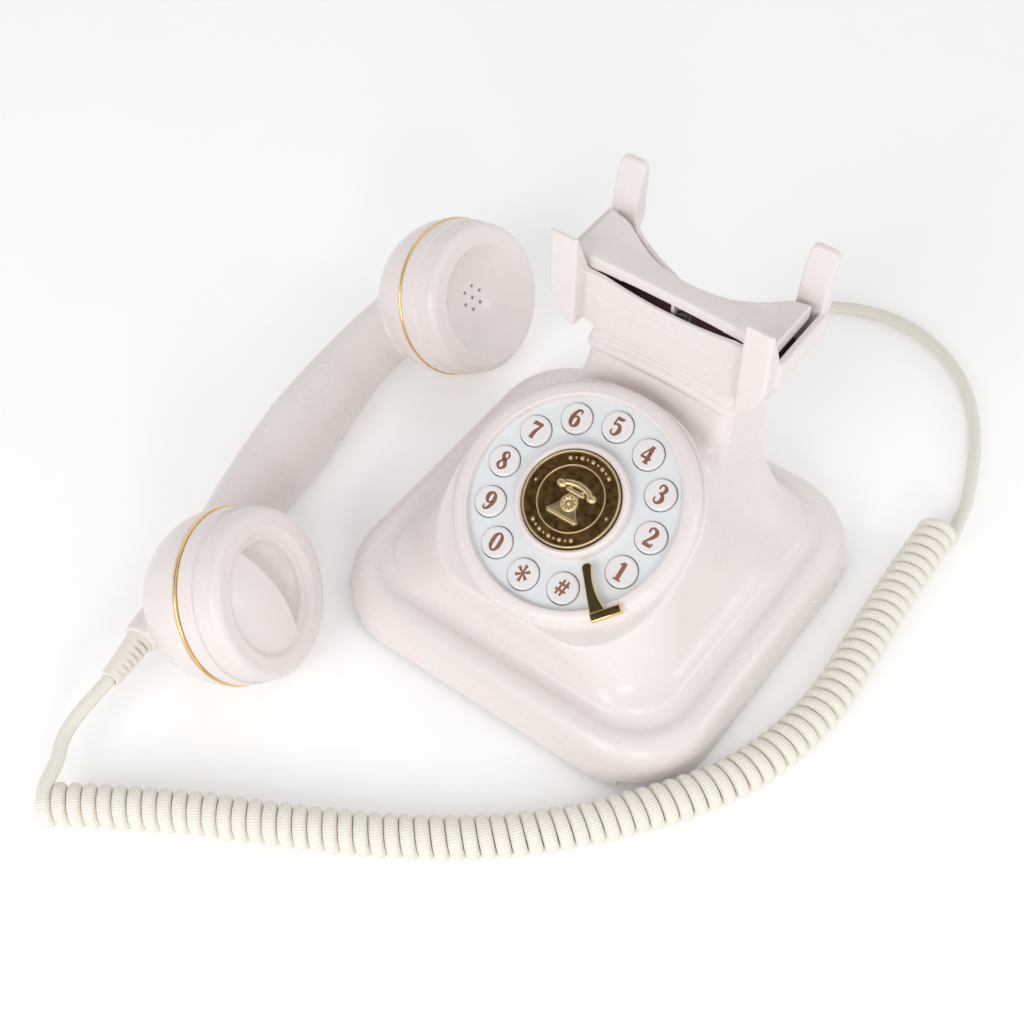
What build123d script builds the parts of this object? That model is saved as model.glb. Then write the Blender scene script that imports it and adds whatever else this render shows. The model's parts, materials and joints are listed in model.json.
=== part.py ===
"""Retro push-button desk telephone: base with a raised dial pod and a four-prong cradle,
and its handset lying beside it on the curly cord.

Frame: millimetres, +Z up, front of the base towards -Y, origin on the desk surface
under the centre of the base's footprint.
"""
from build123d import *
import math
import os

os.makedirs("parts", exist_ok=True)

# ---------------------------------------------------------------- driving dimensions
BASE_WIDTH = 147.0          # skirt, left to right
BASE_DEPTH = 145.0          # skirt, front to back
BASE_CORNER = 30.0          # plan radius of the skirt's corners
FOOT_HEIGHT = 2.0           # desk to the underside of the base
SHOULDER_TOP = 20.5         # height of the flat shoulder round the base
SKIRT_TAPER = 1.6           # how far the skirt leans in over its height
SHOULDER_FILLET = 5.0
PLATEAU_INSET = 16.0        # from the skirt to the raised step
PLATEAU_TOP = 22.0
WALL = 2.6                  # moulded wall thickness

DIAL_Y = -19.5              # centre of the button tops
DIAL_Z = 61.0
DIAL_TILT = 28.0            # degrees, dial face leaning back
DIAL_FACE = -3.0            # housing's dial face, along the dial's normal
BEZEL_RADIUS = 42.8
PLATE_RADIUS = 37.0
BUTTON_RING = 29.2          # radius of the circle of buttons
BUTTON_RADIUS = 5.4
BUTTON_GAP = 0.35
BUTTON_TRAVEL = 1.2
FIRST_BUTTON = -24.4        # degrees, the 1 key, anticlockwise from +X in the dial plane
BUTTON_STEP = 29.04         # degrees between keys
MEDALLION_RADIUS = 17.1
MEDALLION_TOP = 4.4

NECK_HALF = 28.5            # half width of the cradle's neck
NECK_FRONT = 29.5
NECK_BACK = 58.0
NECK_JOINT = 78.0           # height where the cradle sits on the housing
RAIL_HALF = 43.0            # outside of the cradle's side rails
RAIL_TOP = 110.5
CRADLE_BACK = 61.0
PRONG_INNER = 31.4
PRONG_OUTER = 41.3
FRONT_PRONG_FACE = 23.3
FRONT_PRONG_TOP = 127.5
REAR_PRONG_BACK = 65.8
REAR_PRONG_TOP = 132.0
SADDLE_HALF = 37.7
SADDLE_TOP = 115.5
SADDLE_FRONT = 32.9
SADDLE_BACK = 57.0
SADDLE_SKIRT = 109.5
SADDLE_TRAVEL = 4.5

HANDSET_ORIGIN = (-96.1, -21.4, 30.65)   # midway between the two cups' rims
HANDSET_AZIMUTH = 10.0      # degrees, where the cups face, from +X towards +Y
HANDSET_ELEVATION = 27.5    # degrees, how far the cups look up
CUP_SPACING = 80.8          # handset centre to either cup's rim centre
CUP_TILT = 9.2              # degrees, each cup leans towards the other
CUP_RADIUS = 30.6
HANDLE_LEVEL = -28.0        # handle's centre line behind the cups' rims
HANDLE_HALF_THICK = 9.5
HANDSET_SPLIT = -31.0       # joint between the handle's two mouldings
BOSS_END = -104.0
RELIEF_END = -121.6
RELIEF_LEVEL = -29.0

CORD_DIAMETER = 4.8
COIL_DIAMETER = 15.0

SCREW_HEAD = 2.6
SCREW_HEAD_HEIGHT = 1.3
SCREW_SHANK = 1.4


# ---------------------------------------------------------------- helpers
def save(name, shape):
    """Write one sub-part under its node's name."""
    export_step(shape, f"parts/{name}.step")


def block(x0, x1, y0, y1, z0, z1):
    """Box between two corners."""
    size = (x1 - x0, y1 - y0, z1 - z0)
    centre = ((x0 + x1) / 2, (y0 + y1) / 2, (z0 + z1) / 2)
    return Pos(*centre) * Box(*size)


def post(radius, x, y, z0, z1):
    """Upright cylinder from z0 to z1."""
    return Pos(x, y, (z0 + z1) / 2) * Cylinder(radius, z1 - z0)


def disc(radius, low, high):
    """Cylinder on the Z axis between two levels."""
    return post(radius, 0, 0, low, high)


def rounded_slab(width, depth, corner, z0, z1, y=0.0):
    """Upright slab with rounded corners."""
    outline = Pos(0, y, z0) * RectangleRounded(width, depth, corner)
    return extrude(outline, z1 - z0)


def level(half, front, back, corner, z):
    """Rounded rectangle at height z, symmetric in X."""
    plan = RectangleRounded(2 * half, back - front, corner)
    return Pos(0, (front + back) / 2, z) * plan


def screw(x, y, z, length):
    """Pan-head screw, driven upwards with its head at the bottom."""
    head = post(SCREW_HEAD, x, y, z, z + SCREW_HEAD_HEIGHT)
    slot = block(x - 1.8, x + 1.8, y - 0.3, y + 0.3, z, z + 0.6)
    return head - slot + post(SCREW_SHANK, x, y, z + SCREW_HEAD_HEIGHT, z + length)


DIAL = Plane(
    origin=(0, DIAL_Y, DIAL_Z),
    x_dir=(1, 0, 0),
    z_dir=(0, -math.sin(math.radians(DIAL_TILT)), math.cos(math.radians(DIAL_TILT))),
)


def on_dial(shape):
    """Move a shape made about the origin onto the dial's plane."""
    return DIAL.location * shape


def polar(radius, degrees):
    """Point on a circle about the dial's centre."""
    angle = math.radians(degrees)
    return radius * math.cos(angle), radius * math.sin(angle)


# ---------------------------------------------------------------- base housing
# Plan sections of the two swellings that rise from the plateau. Each row holds the
# height, half width, front, back and corner radius.
POD_LEVELS = (
    (20.5, 54.0, -55.4, 40.0, 14.0),
    (32.0, 48.5, -55.8, 32.0, 26.0),
    (46.0, 44.8, -56.4, 26.0, 34.0),
    (62.0, 43.3, -56.8, 22.0, 37.0),
    (86.0, 43.0, -57.0, 19.0, 37.6),
)
NECK_LEVELS = (
    (20.5, 55.0, -20.0, 55.4, 15.0),
    (30.0, 46.0, -8.0, 56.0, 17.0),
    (42.0, 37.5, 4.0, 56.6, 16.0),
    (58.0, 31.8, 16.0, 57.2, 10.0),
    (70.0, 29.6, 25.0, 57.8, 7.0),
    (78.0, 28.8, 28.8, 58.0, 5.0),
)


def swelling(levels, inset):
    """Smooth loft through plan sections, shrunk by inset for the inside."""
    plans = []
    for z, half, front, back, corner in levels:
        foot = inset if not plans else 0
        plan = level(half - inset, front + inset, back - inset, corner - inset, z - foot)
        plans.append(plan)
    return loft(plans)


def housing_volume(inset):
    """Outside of the housing, or its inside when inset is the wall."""
    taper_angle = math.degrees(math.atan(SKIRT_TAPER / (SHOULDER_TOP - FOOT_HEIGHT)))
    skirt_plan = RectangleRounded(
        BASE_WIDTH - 2 * inset, BASE_DEPTH - 2 * inset, BASE_CORNER - inset
    )
    skirt = extrude(
        Pos(0, 0, FOOT_HEIGHT) * skirt_plan,
        SHOULDER_TOP - inset - FOOT_HEIGHT,
        taper=taper_angle,
    )
    if inset == 0:
        skirt = fillet(skirt.faces().sort_by(Axis.Z)[-1].edges(), SHOULDER_FILLET)
    plateau = rounded_slab(
        BASE_WIDTH - 2 * PLATEAU_INSET - 2 * inset,
        BASE_DEPTH - 2 * PLATEAU_INSET - 2 * inset,
        BASE_CORNER - PLATEAU_INSET,
        10.0,
        PLATEAU_TOP - inset,
    )
    if inset == 0:
        plateau = fillet(plateau.faces().sort_by(Axis.Z)[-1].edges(), 0.8)
    pod = swelling(POD_LEVELS, inset)
    above_dial = on_dial(Pos(0, 0, DIAL_FACE - inset + 60) * Box(300, 300, 120))
    neck = swelling(NECK_LEVELS, inset)
    return skirt + plateau + (pod - above_dial) + (neck - above_dial_front(inset))


def above_dial_front(inset):
    """Space over the dial face that the neck's swelling must leave free."""
    clear = on_dial(Pos(0, 0, DIAL_FACE - inset + 60) * Box(300, 86, 120))
    return clear - block(-200, 200, 19.0 + inset, 300, 0, 300)


def make_base_housing():
    """Moulded upper housing: skirt, shoulder, plateau, dial pod and neck root."""
    outer = housing_volume(0)
    inner = housing_volume(WALL)
    neck_way = rounded_slab(
        2 * (NECK_HALF - WALL), NECK_BACK - NECK_FRONT - 2 * WALL, 3.0,
        60, 90, y=(NECK_FRONT + NECK_BACK) / 2,
    )
    dial_way = on_dial(disc(35.8, -14, 10))
    shell = outer - inner - neck_way - dial_way
    jack_ways = Part()
    for jack_x in (HANDSET_JACK_X, LINE_JACK_X):
        jack_ways += block(jack_x - 6.2, jack_x + 6.2, 60, 80, BASE_TOP, BASE_TOP + 9.4)
    for switch_x in (RINGER_SWITCH_X, DIAL_MODE_SWITCH_X):
        jack_ways += block(switch_x - 3.8, switch_x + 3.8, 60, 80, 8.4, 11.6)
    shell -= jack_ways
    for x, y in BASE_SCREW_SPOTS:
        boss = post(4.0, x, y, BASE_TOP + 0.1, SHOULDER_TOP - 1.5)
        shell += boss - post(SCREW_SHANK + 0.15, x, y, 0, 14)
    return shell.solids().sort_by(SortBy.VOLUME)[-1]


# ---------------------------------------------------------------- base plate and its load
BASE_TOP = FOOT_HEIGHT + 2.6        # upper face of the base plate
BASE_SCREW_SPOTS = ((-56, -52), (56, -52), (-56, 50), (56, 50))
FOOT_SPOTS = ((-50, -38), (50, -38), (-50, 38), (50, 38))
HANDSET_JACK_X = -25.0
LINE_JACK_X = 25.0
RINGER_SWITCH_X = -5.0
DIAL_MODE_SWITCH_X = 8.0
SPEAKER_Y = -30.0


def make_base_plate():
    """Flat bottom cover that closes the skirt."""
    plate = rounded_slab(
        BASE_WIDTH - 2 * WALL - 0.8, BASE_DEPTH - 2 * WALL - 0.8,
        BASE_CORNER - WALL - 0.4, FOOT_HEIGHT, BASE_TOP,
    )
    for x, y in BASE_SCREW_SPOTS:
        plate -= post(SCREW_SHANK + 0.3, x, y, 0, 10)
        plate -= post(SCREW_HEAD + 0.4, x, y, 0, FOOT_HEIGHT + SCREW_HEAD_HEIGHT + 0.2)
    for x, y in FOOT_SPOTS:
        plate -= post(6.2, x, y, 0, FOOT_HEIGHT + 0.8)
    for step in range(7):
        slot_x = -12 + 4 * step
        plate -= block(slot_x - 0.8, slot_x + 0.8, SPEAKER_Y - 9, SPEAKER_Y + 9, 0, 8)
    return plate


def make_rubber_feet():
    """Four stick-in rubber feet."""
    feet = []
    for x, y in FOOT_SPOTS:
        foot = post(6.1, x, y, 0, FOOT_HEIGHT + 0.8)
        feet.append(fillet(foot.edges().sort_by(Axis.Z)[0], 0.8))
    return Compound(children=feet)


def make_base_screws():
    """Four screws that hold the base plate to the housing's bosses."""
    return Compound(children=[screw(x, y, FOOT_HEIGHT + 0.1, 10.0) for x, y in BASE_SCREW_SPOTS])


def make_ballast():
    """Steel plate that keeps the light base from sliding."""
    weight = rounded_slab(68, 36, 4, BASE_TOP, BASE_TOP + 5.0, y=22)
    return weight - block(-20, 20, 30, 41, 0, 20)


def make_speaker():
    """Small ringer loudspeaker over the slots of the base plate."""
    frame = Pos(0, SPEAKER_Y, 0) * Cone(16, 9, 5.0, align=(Align.CENTER, Align.CENTER, Align.MIN))
    magnet = post(8, 0, SPEAKER_Y, 5, 10)
    return Pos(0, 0, BASE_TOP) * (frame + magnet)


def make_main_board():
    """Main circuit board on four spacers, with its larger components."""
    board_z = 17.0
    board = block(-42, 42, 5, 44, board_z, board_z + 1.6)
    for x in (-38, 38):
        for y in (9, 42):
            board += post(2.2, x, y, BASE_TOP, board_z)
    chips = (
        (-25, 14, 16, 8, 3.0), (5, 30, 10, 10, 2.2), (24, 14, 12, 12, 4.0),
    )
    for x, y, width, depth, height in chips:
        board += block(
            x - width / 2, x + width / 2, y - depth / 2, y + depth / 2,
            board_z + 1.6, board_z + 1.6 + height,
        )
    for x in (-6, 2, 10):
        board += post(2.5, x, 14, board_z + 1.6, board_z + 9.0)
    return board


def make_jack(x):
    """Modular jack: an open-fronted socket for a small plug."""
    back_wall = BASE_DEPTH / 2 - 1.2
    body = block(x - 6, x + 6, back_wall - 13, back_wall, BASE_TOP, BASE_TOP + 9.2)
    return body - block(x - 4, x + 4, back_wall - 11, 80, BASE_TOP + 1.2, BASE_TOP + 8.0)


def make_slide_switch_body(x):
    """Metal-cased slide switch behind the rear wall."""
    return block(x - 5, x + 5, 61.5, 67.0, 7.5, 12.5) - block(x - 3.6, x + 3.6, 66.2, 70, 8.7, 11.3)


def make_slide_switch_knob(x):
    """Slide switch's knob, at the left end of its slot."""
    return block(x - 3.4, x - 0.6, 66.3, 73.2, 8.8, 11.2)


# ---------------------------------------------------------------- dial
def make_bezel():
    """Rounded ring round the dial plate."""
    inner = PLATE_RADIUS + 0.2
    profile = Polyline(
        (inner, DIAL_FACE), (BEZEL_RADIUS, DIAL_FACE), (BEZEL_RADIUS, -1.2)
    ) + ThreePointArc((BEZEL_RADIUS, -1.2), (40.9, 1.5), (38.4, 1.6)) + Polyline(
        (38.4, 1.6), (inner, 0.4), (inner, DIAL_FACE)
    )
    return on_dial(revolve(Plane.XZ * make_face(profile), Axis.Z))


def button_angle(index):
    """Angle of one key round the dial."""
    return FIRST_BUTTON + BUTTON_STEP * index


def make_dial_plate():
    """Pale disc with a hole for each key and posts for the key board."""
    plate = disc(PLATE_RADIUS, DIAL_FACE, -1.3)
    for index in range(12):
        x, y = polar(BUTTON_RING, button_angle(index))
        plate -= post(BUTTON_RADIUS + BUTTON_GAP, x, y, -5, 2)
    plate -= disc(MEDALLION_RADIUS + 0.3, -5, 2)
    for angle in KEY_SCREW_ANGLES:
        x, y = polar(KEY_SCREW_RING, angle)
        plate += post(1.9, x, y, BOARD_LEVEL, DIAL_FACE) - post(0.9, x, y, -20, DIAL_FACE - 0.5)
    for side in (-1, 1):
        lug = block(side * 20.4 - 1.4, side * 20.4 + 1.4, -3.0, 3.0, PIN_LEVEL - 2.6, DIAL_FACE)
        plate += lug
    pin_way = Rot(0, 90, 0) * Cylinder(PIN_RADIUS, 60)
    return on_dial(plate - Pos(0, 0, PIN_LEVEL) * pin_way)


KEY_SCREW_RING = 20.6
KEY_SCREW_ANGLES = (45, 135, 225, 315)
BOARD_LEVEL = -9.6
PIN_LEVEL = -5.6
PIN_RADIUS = 1.0


def make_button(index):
    """One round key: domed cap, retaining flange and short stem."""
    cap = disc(BUTTON_RADIUS, -3.2, 0.0)
    cap = fillet(cap.edges().sort_by(Axis.Z)[-1], 0.7)
    flange = disc(BUTTON_RADIUS + 0.8, -4.6, -3.2)
    stem = disc(2.2, -6.2, -4.6)
    x, y = polar(BUTTON_RING, button_angle(index))
    return on_dial(Pos(x, y, 0) * (cap + flange + stem))


def make_key_mat():
    """Rubber contact mat with a low dome under each key."""
    mat = disc(35.2, -9.6, -8.8) - disc(19.0, -12, 0)
    for index in range(12):
        x, y = polar(BUTTON_RING, button_angle(index))
        mat += post(3.2, x, y, -8.8, -7.6)
    for angle in KEY_SCREW_ANGLES:
        x, y = polar(KEY_SCREW_RING, angle)
        mat -= post(2.2, x, y, -12, 0)
    for side in (-1, 1):
        mat -= block(side * 20.5 - 2.2, side * 20.5 + 2.2, -4, 4, -12, 0)
    return on_dial(mat)


def make_key_board():
    """Key circuit board under the mat."""
    board = disc(35.2, -11.2, BOARD_LEVEL)
    for angle in KEY_SCREW_ANGLES:
        x, y = polar(KEY_SCREW_RING, angle)
        board -= post(1.1, x, y, -20, 0)
    return on_dial(board)


def make_key_board_screws():
    """Four small screws that hold the key board to the dial plate."""
    screws = []
    for angle in KEY_SCREW_ANGLES:
        x, y = polar(KEY_SCREW_RING, angle)
        head = post(1.9, x, y, -12.6, -11.2)
        screws.append(on_dial(head + post(0.8, x, y, -11.2, -4.5)))
    return Compound(children=screws)


def make_medallion_collar():
    """Raised ring round the middle button."""
    inner = MEDALLION_RADIUS + 0.3
    profile = Polyline((inner, -1.3), (19.8, -1.3), (19.8, 2.2)) + ThreePointArc(
        (19.8, 2.2), (19.2, 3.6), (18.2, 4.0)
    ) + Polyline((18.2, 4.0), (inner, 3.4), (inner, -1.3))
    return on_dial(revolve(Plane.XZ * make_face(profile), Axis.Z))


def make_medallion_button():
    """Round two-way rocker in the middle of the dial, with its pivot boss."""
    top = MEDALLION_TOP
    plate = disc(MEDALLION_RADIUS, top - 3.4, top - 0.5)
    for outer, inner in ((MEDALLION_RADIUS, 15.9), (12.6, 12.0)):
        plate += disc(outer, top - 0.6, top) - disc(inner, top - 1, top + 1)
    boss = block(-12, 12, -3.2, 3.2, PIN_LEVEL - 2.4, top - 3.0)
    pin_way = Pos(0, 0, PIN_LEVEL) * Rot(0, 90, 0) * Cylinder(PIN_RADIUS + 0.05, 60)
    return on_dial(plate + boss - pin_way)


def make_medallion_pin():
    """Pivot pin of the middle button."""
    return on_dial(Pos(0, 0, PIN_LEVEL) * Rot(0, 90, 0) * Cylinder(PIN_RADIUS, 43.6))


def make_finger_stop():
    """Curved metal blade with a straight foot on the bezel."""
    tip_left = polar(23.4, -49.0)
    tip_right = polar(23.6, -40.2)
    foot_left = polar(39.5, -48.6)
    foot_right = polar(39.5, -40.3)
    outline = (
        ThreePointArc(tip_left, polar(32.2, -48.8), foot_left)
        + Line(foot_left, foot_right)
        + ThreePointArc(foot_right, polar(33.0, -42.8), tip_right)
        + ThreePointArc(tip_right, polar(22.3, -44.7), tip_left)
    )
    blade = extrude(Pos(0, 0, 2.1) * make_face(outline), 1.2)
    foot_x, foot_y = polar(40.4, -41.1)
    foot = Pos(foot_x, foot_y, 2.75) * Rot(0, 0, -41.1) * Box(3.0, 10.6, 1.5)
    return on_dial(blade + foot)


# ---------------------------------------------------------------- cradle
def head_profile(inset, top):
    """Front view of the cradle's head: neck, flare and straight rails."""
    neck = NECK_HALF - inset
    rail = RAIL_HALF - inset
    flare_low = 85.0 + inset * 0.4
    right = (
        Line((neck, NECK_JOINT), (neck, flare_low))
        + ThreePointArc((neck, flare_low), (38.6 - inset * 0.8, 92.6 + inset * 0.6), (rail, 104.5))
        + Line((rail, 104.5), (rail, top))
    )
    left = mirror(right, Plane.YZ)
    closing = Line((-rail, top), (rail, top)) + Line((-neck, NECK_JOINT), (neck, NECK_JOINT))
    return make_face(Plane.XZ * (right + left + closing))


def head_block(inset, front, back, top):
    """Head profile extruded from front to back."""
    face = head_profile(inset, top)
    return Pos(0, back, 0) * extrude(face, back - front, dir=(0, -1, 0))


def make_cradle_yoke():
    """Cradle moulding: neck, flared head with side rails and four prongs."""
    head = head_block(0, NECK_FRONT, CRADLE_BACK, RAIL_TOP)
    neck_depth = NECK_BACK - NECK_FRONT
    neck_y = (NECK_FRONT + NECK_BACK) / 2
    behind_neck = block(-60, 60, NECK_BACK, 80, 60, 86) + Pos(0, NECK_BACK, 86) * wedge_cut()
    head -= behind_neck
    lower_bead = rounded_slab(2 * NECK_HALF + 4.6, neck_depth + 4.6, 6.0, 79.6, 84.4, y=neck_y)
    lower_bead = fillet(lower_bead.faces().filter_by(Plane.XY).edges(), 2.2)
    head += lower_bead
    front_wings = Part()
    for side in (-1, 1):
        front_wings += front_prong(side)
    front_wings = front_wings & head_block(1.2, FRONT_PRONG_FACE - 1, NECK_FRONT + 4, 140)
    rear_prongs = Part()
    for side in (-1, 1):
        rear_prongs += rear_prong(side)
    yoke = head + front_wings + rear_prongs
    cavity = head_block(WALL, NECK_FRONT + WALL, CRADLE_BACK - WALL, 150)
    cavity -= block(-60, 60, NECK_BACK - WALL, 80, 60, 88)
    cavity &= block(-60, 60, 0, CRADLE_BACK - WALL, NECK_JOINT - 1, 150)
    prong_keep = Part()
    for side in (-1, 1):
        x0, x1 = sorted((side * PRONG_INNER, side * (PRONG_OUTER + 2)))
        prong_keep += block(x0, x1, NECK_FRONT, NECK_FRONT + WALL, RAIL_TOP, 140)
        prong_keep += block(x0, x1, CRADLE_BACK - WALL, 70, RAIL_TOP, 140)
    yoke -= cavity - prong_keep
    yoke -= block(-PRONG_INNER, PRONG_INNER, NECK_FRONT - 1, NECK_FRONT + WALL + 0.1, 109.5, 115)
    rear_way = Pos(0, 66, 131.2) * Rot(90, 0, 0) * Cylinder(39.0, 20)
    yoke -= rear_way & block(-PRONG_INNER, PRONG_INNER, 55, 80, 90, 140)
    guide_boss = post(5.0, 0, GUIDE_Y, 90, 94) + block(-27.5, 27.5, GUIDE_Y - 4, GUIDE_Y + 4, 90, 93)
    yoke += guide_boss & head_block(WALL / 2, NECK_FRONT, NECK_BACK, 140)
    yoke -= post(POST_RADIUS + 0.3, 0, GUIDE_Y, 80, 100)
    return yoke.solids().sort_by(SortBy.VOLUME)[-1]


GUIDE_Y = 39.8
POST_RADIUS = 2.0


def wedge_cut():
    """Slanting cut under the back of the head, up to its rear wall."""
    outline = Polyline((0, -0.1), (10, -0.1), (10, 16), (CRADLE_BACK - NECK_BACK, 10), (0, -0.1))
    return extrude(Plane.YZ * make_face(outline), 60, both=True)


def front_prong(side):
    """Flat upright tab standing proud of the neck, thinning to its top."""
    outline = Polyline(
        (FRONT_PRONG_FACE, 80), (FRONT_PRONG_FACE, FRONT_PRONG_TOP),
        (FRONT_PRONG_FACE + 1.4, FRONT_PRONG_TOP), (NECK_FRONT + 2.0, RAIL_TOP),
        (NECK_FRONT + 2.0, 80), (FRONT_PRONG_FACE, 80),
    )
    width = PRONG_OUTER - PRONG_INNER
    tab = extrude(Plane.YZ * make_face(outline), width)
    start = PRONG_INNER if side > 0 else -PRONG_OUTER
    return Pos(start, 0, 0) * tab


def rear_prong(side):
    """Tall curved horn at the back corner of the cradle."""
    back = REAR_PRONG_BACK
    foot = CRADLE_BACK - WALL
    outline = (
        Line((foot, 106), (foot, 113))
        + ThreePointArc((foot, 113), (60.6, 124.5), (back - 1.8, REAR_PRONG_TOP))
        + Line((back - 1.8, REAR_PRONG_TOP), (back, REAR_PRONG_TOP))
        + Line((back, REAR_PRONG_TOP), (back - 0.6, 112))
        + ThreePointArc((back - 0.6, 112), (63.4, 106.8), (foot, 104.5))
        + Line((foot, 104.5), (foot, 106))
    )
    width = PRONG_OUTER - PRONG_INNER
    horn = extrude(Plane.YZ * make_face(outline), width)
    start = PRONG_INNER if side > 0 else -PRONG_OUTER
    return Pos(start, 0, 0) * horn


REAR_ARC = 49.2             # plan radius of the saddle's hollow rear edge
REAR_ARC_Y = 94.7
APRON_LOW = 99.5            # bottom of the saddle's rear apron


def saddle_dip():
    """Shallow round trough that deepens towards the saddle's rear edge."""
    bar = Pos(0, 0, 72.0) * Rot(90, 0, 0) * Cylinder(72.0, 60)
    return Pos(0, 36.5, SADDLE_TOP) * Rot(-24, 0, 0) * bar


def make_cradle_saddle():
    """Sprung plate that the handset presses down, with skirts, rear apron and guide post."""
    half = SADDLE_HALF
    front_bow = 1.3
    sides = Polyline((-half, SADDLE_FRONT), (-half, SADDLE_BACK), (half, SADDLE_BACK), (half, SADDLE_FRONT))
    front = ThreePointArc((half, SADDLE_FRONT), (0, SADDLE_FRONT + front_bow), (-half, SADDLE_FRONT))
    plan = make_face(sides + front)
    plate = extrude(Pos(0, 0, SADDLE_SKIRT) * plan, SADDLE_TOP - SADDLE_SKIRT)
    notch_x = PRONG_INNER - 0.4
    for side in (-1, 1):
        x0, x1 = sorted((side * notch_x, side * (half + 1)))
        plate -= block(x0, x1, SADDLE_BACK - 1.6, SADDLE_BACK + 1, 100, 120)
    plate -= post(REAR_ARC, 0, REAR_ARC_Y, 100, 120)
    plate -= saddle_dip()
    hollow_front = SADDLE_FRONT + front_bow + 2.0
    hollow = block(-half + 2.0, half - 2.0, hollow_front, 55, SADDLE_SKIRT - 1, SADDLE_TOP - 2.4)
    hollow -= Pos(0, 0, -2.4) * saddle_dip()
    hollow -= post(REAR_ARC + 2.0, 0, REAR_ARC_Y, 100, 120)
    plate -= hollow
    apron = post(REAR_ARC + 2.0, 0, REAR_ARC_Y, APRON_LOW, SADDLE_TOP) - post(
        REAR_ARC, 0, REAR_ARC_Y, 90, 120
    )
    apron &= block(-28, 28, 40, SADDLE_BACK - 2, APRON_LOW, SADDLE_TOP)
    plate += apron - saddle_dip()
    guide = post(POST_RADIUS, 0, GUIDE_Y, 70.0, SADDLE_TOP - 3.5)
    flange = post(3.6, 0, GUIDE_Y, FLANGE_LOW, SADDLE_TOP - 3.5)
    return plate + guide + flange


FLANGE_LOW = SADDLE_TOP - 6.2


def make_saddle_spring():
    """Compression spring between the guide boss and the saddle."""
    low = 94.0
    wire = 0.4
    height = FLANGE_LOW - 0.3 - low - 2 * wire
    path = Helix(pitch=height / 6, height=height, radius=3.0)
    coil = sweep(Plane(origin=path @ 0, z_dir=path % 0) * Circle(wire), path)
    return Pos(0, GUIDE_Y, low + wire) * coil


def make_hook_switch():
    """Switch block under the saddle's guide post, on its bracket."""
    body = block(-6, 6, GUIDE_Y - 4, GUIDE_Y + 4, 54.0, 65.0)
    tongue = block(-27.0, 27.0, GUIDE_Y - 5, GUIDE_Y + 5, 52.0, 54.0)
    return body + tongue


# ---------------------------------------------------------------- handset
def handset_frame():
    """Plane whose X runs from mouth to ear and whose Z is where the cups face."""
    azimuth = math.radians(HANDSET_AZIMUTH)
    elevation = math.radians(HANDSET_ELEVATION)
    along = (-math.sin(azimuth), math.cos(azimuth), 0)
    facing = (
        math.cos(azimuth) * math.cos(elevation),
        math.sin(azimuth) * math.cos(elevation),
        math.sin(elevation),
    )
    return Plane(origin=HANDSET_ORIGIN, x_dir=along, z_dir=facing)


HANDSET = handset_frame()


def on_handset(shape):
    """Move a shape from the handset's own axes to where it lies."""
    return HANDSET.location * shape


def on_cup(side, shape):
    """Place a shape made about a cup's axis; side is 1 for the ear and -1 for the mouth."""
    return Pos(side * CUP_SPACING, 0, 0) * Rot(0, -side * CUP_TILT, 0) * shape


# Handle sections along its length: position, centre level, half width, half thickness.
HANDLE_SECTIONS = (
    (0.0, HANDLE_LEVEL, 17.0, HANDLE_HALF_THICK),
    (22.0, HANDLE_LEVEL, 15.6, HANDLE_HALF_THICK),
    (42.0, HANDLE_LEVEL + 0.8, 14.0, HANDLE_HALF_THICK),
    (60.0, HANDLE_LEVEL + 4.5, 13.4, 10.0),
    (78.0, HANDLE_LEVEL + 11.0, 13.0, 10.5),
)


def handle_volume(inset):
    """Handle as a loft of ellipses, shrunk by inset for its bore."""
    rows = [(-x, z, wide, thick) for x, z, wide, thick in reversed(HANDLE_SECTIONS[1:])]
    rows += list(HANDLE_SECTIONS)
    sections = []
    for x, z, wide, thick in rows:
        plane = Plane(origin=(x, 0, z), x_dir=(0, 1, 0), z_dir=(1, 0, 0))
        sections.append(plane * Ellipse(wide - inset, thick - inset))
    return loft(sections)


def cup_back(radius):
    """Round back of a cup with a short straight rim."""
    ball = Sphere(radius) & block(-60, 60, -60, 60, -60, 0)
    return ball


def handset_volume():
    """Outside of the handset's main moulding."""
    body = handle_volume(0)
    for side in (-1, 1):
        body += on_cup(side, cup_back(CUP_RADIUS))
    boss = Pos((BOSS_END - 84) / 2, 0, RELIEF_LEVEL) * Rot(0, 90, 0) * Cylinder(6.3, -84 - BOSS_END)
    body += boss
    return body


def handset_hollow():
    """Space inside the handset's main moulding."""
    hollow = handle_volume(WALL) & block(-76, 76, -30, 30, -60, 10)
    for side in (-1, 1):
        hollow += on_cup(side, cup_back(CUP_RADIUS - WALL) + disc(CUP_RADIUS - WALL, -1, 2))
    hollow += Pos(-95, 0, RELIEF_LEVEL) * Rot(0, 90, 0) * Cylinder(2.6, 40)
    return hollow


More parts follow.
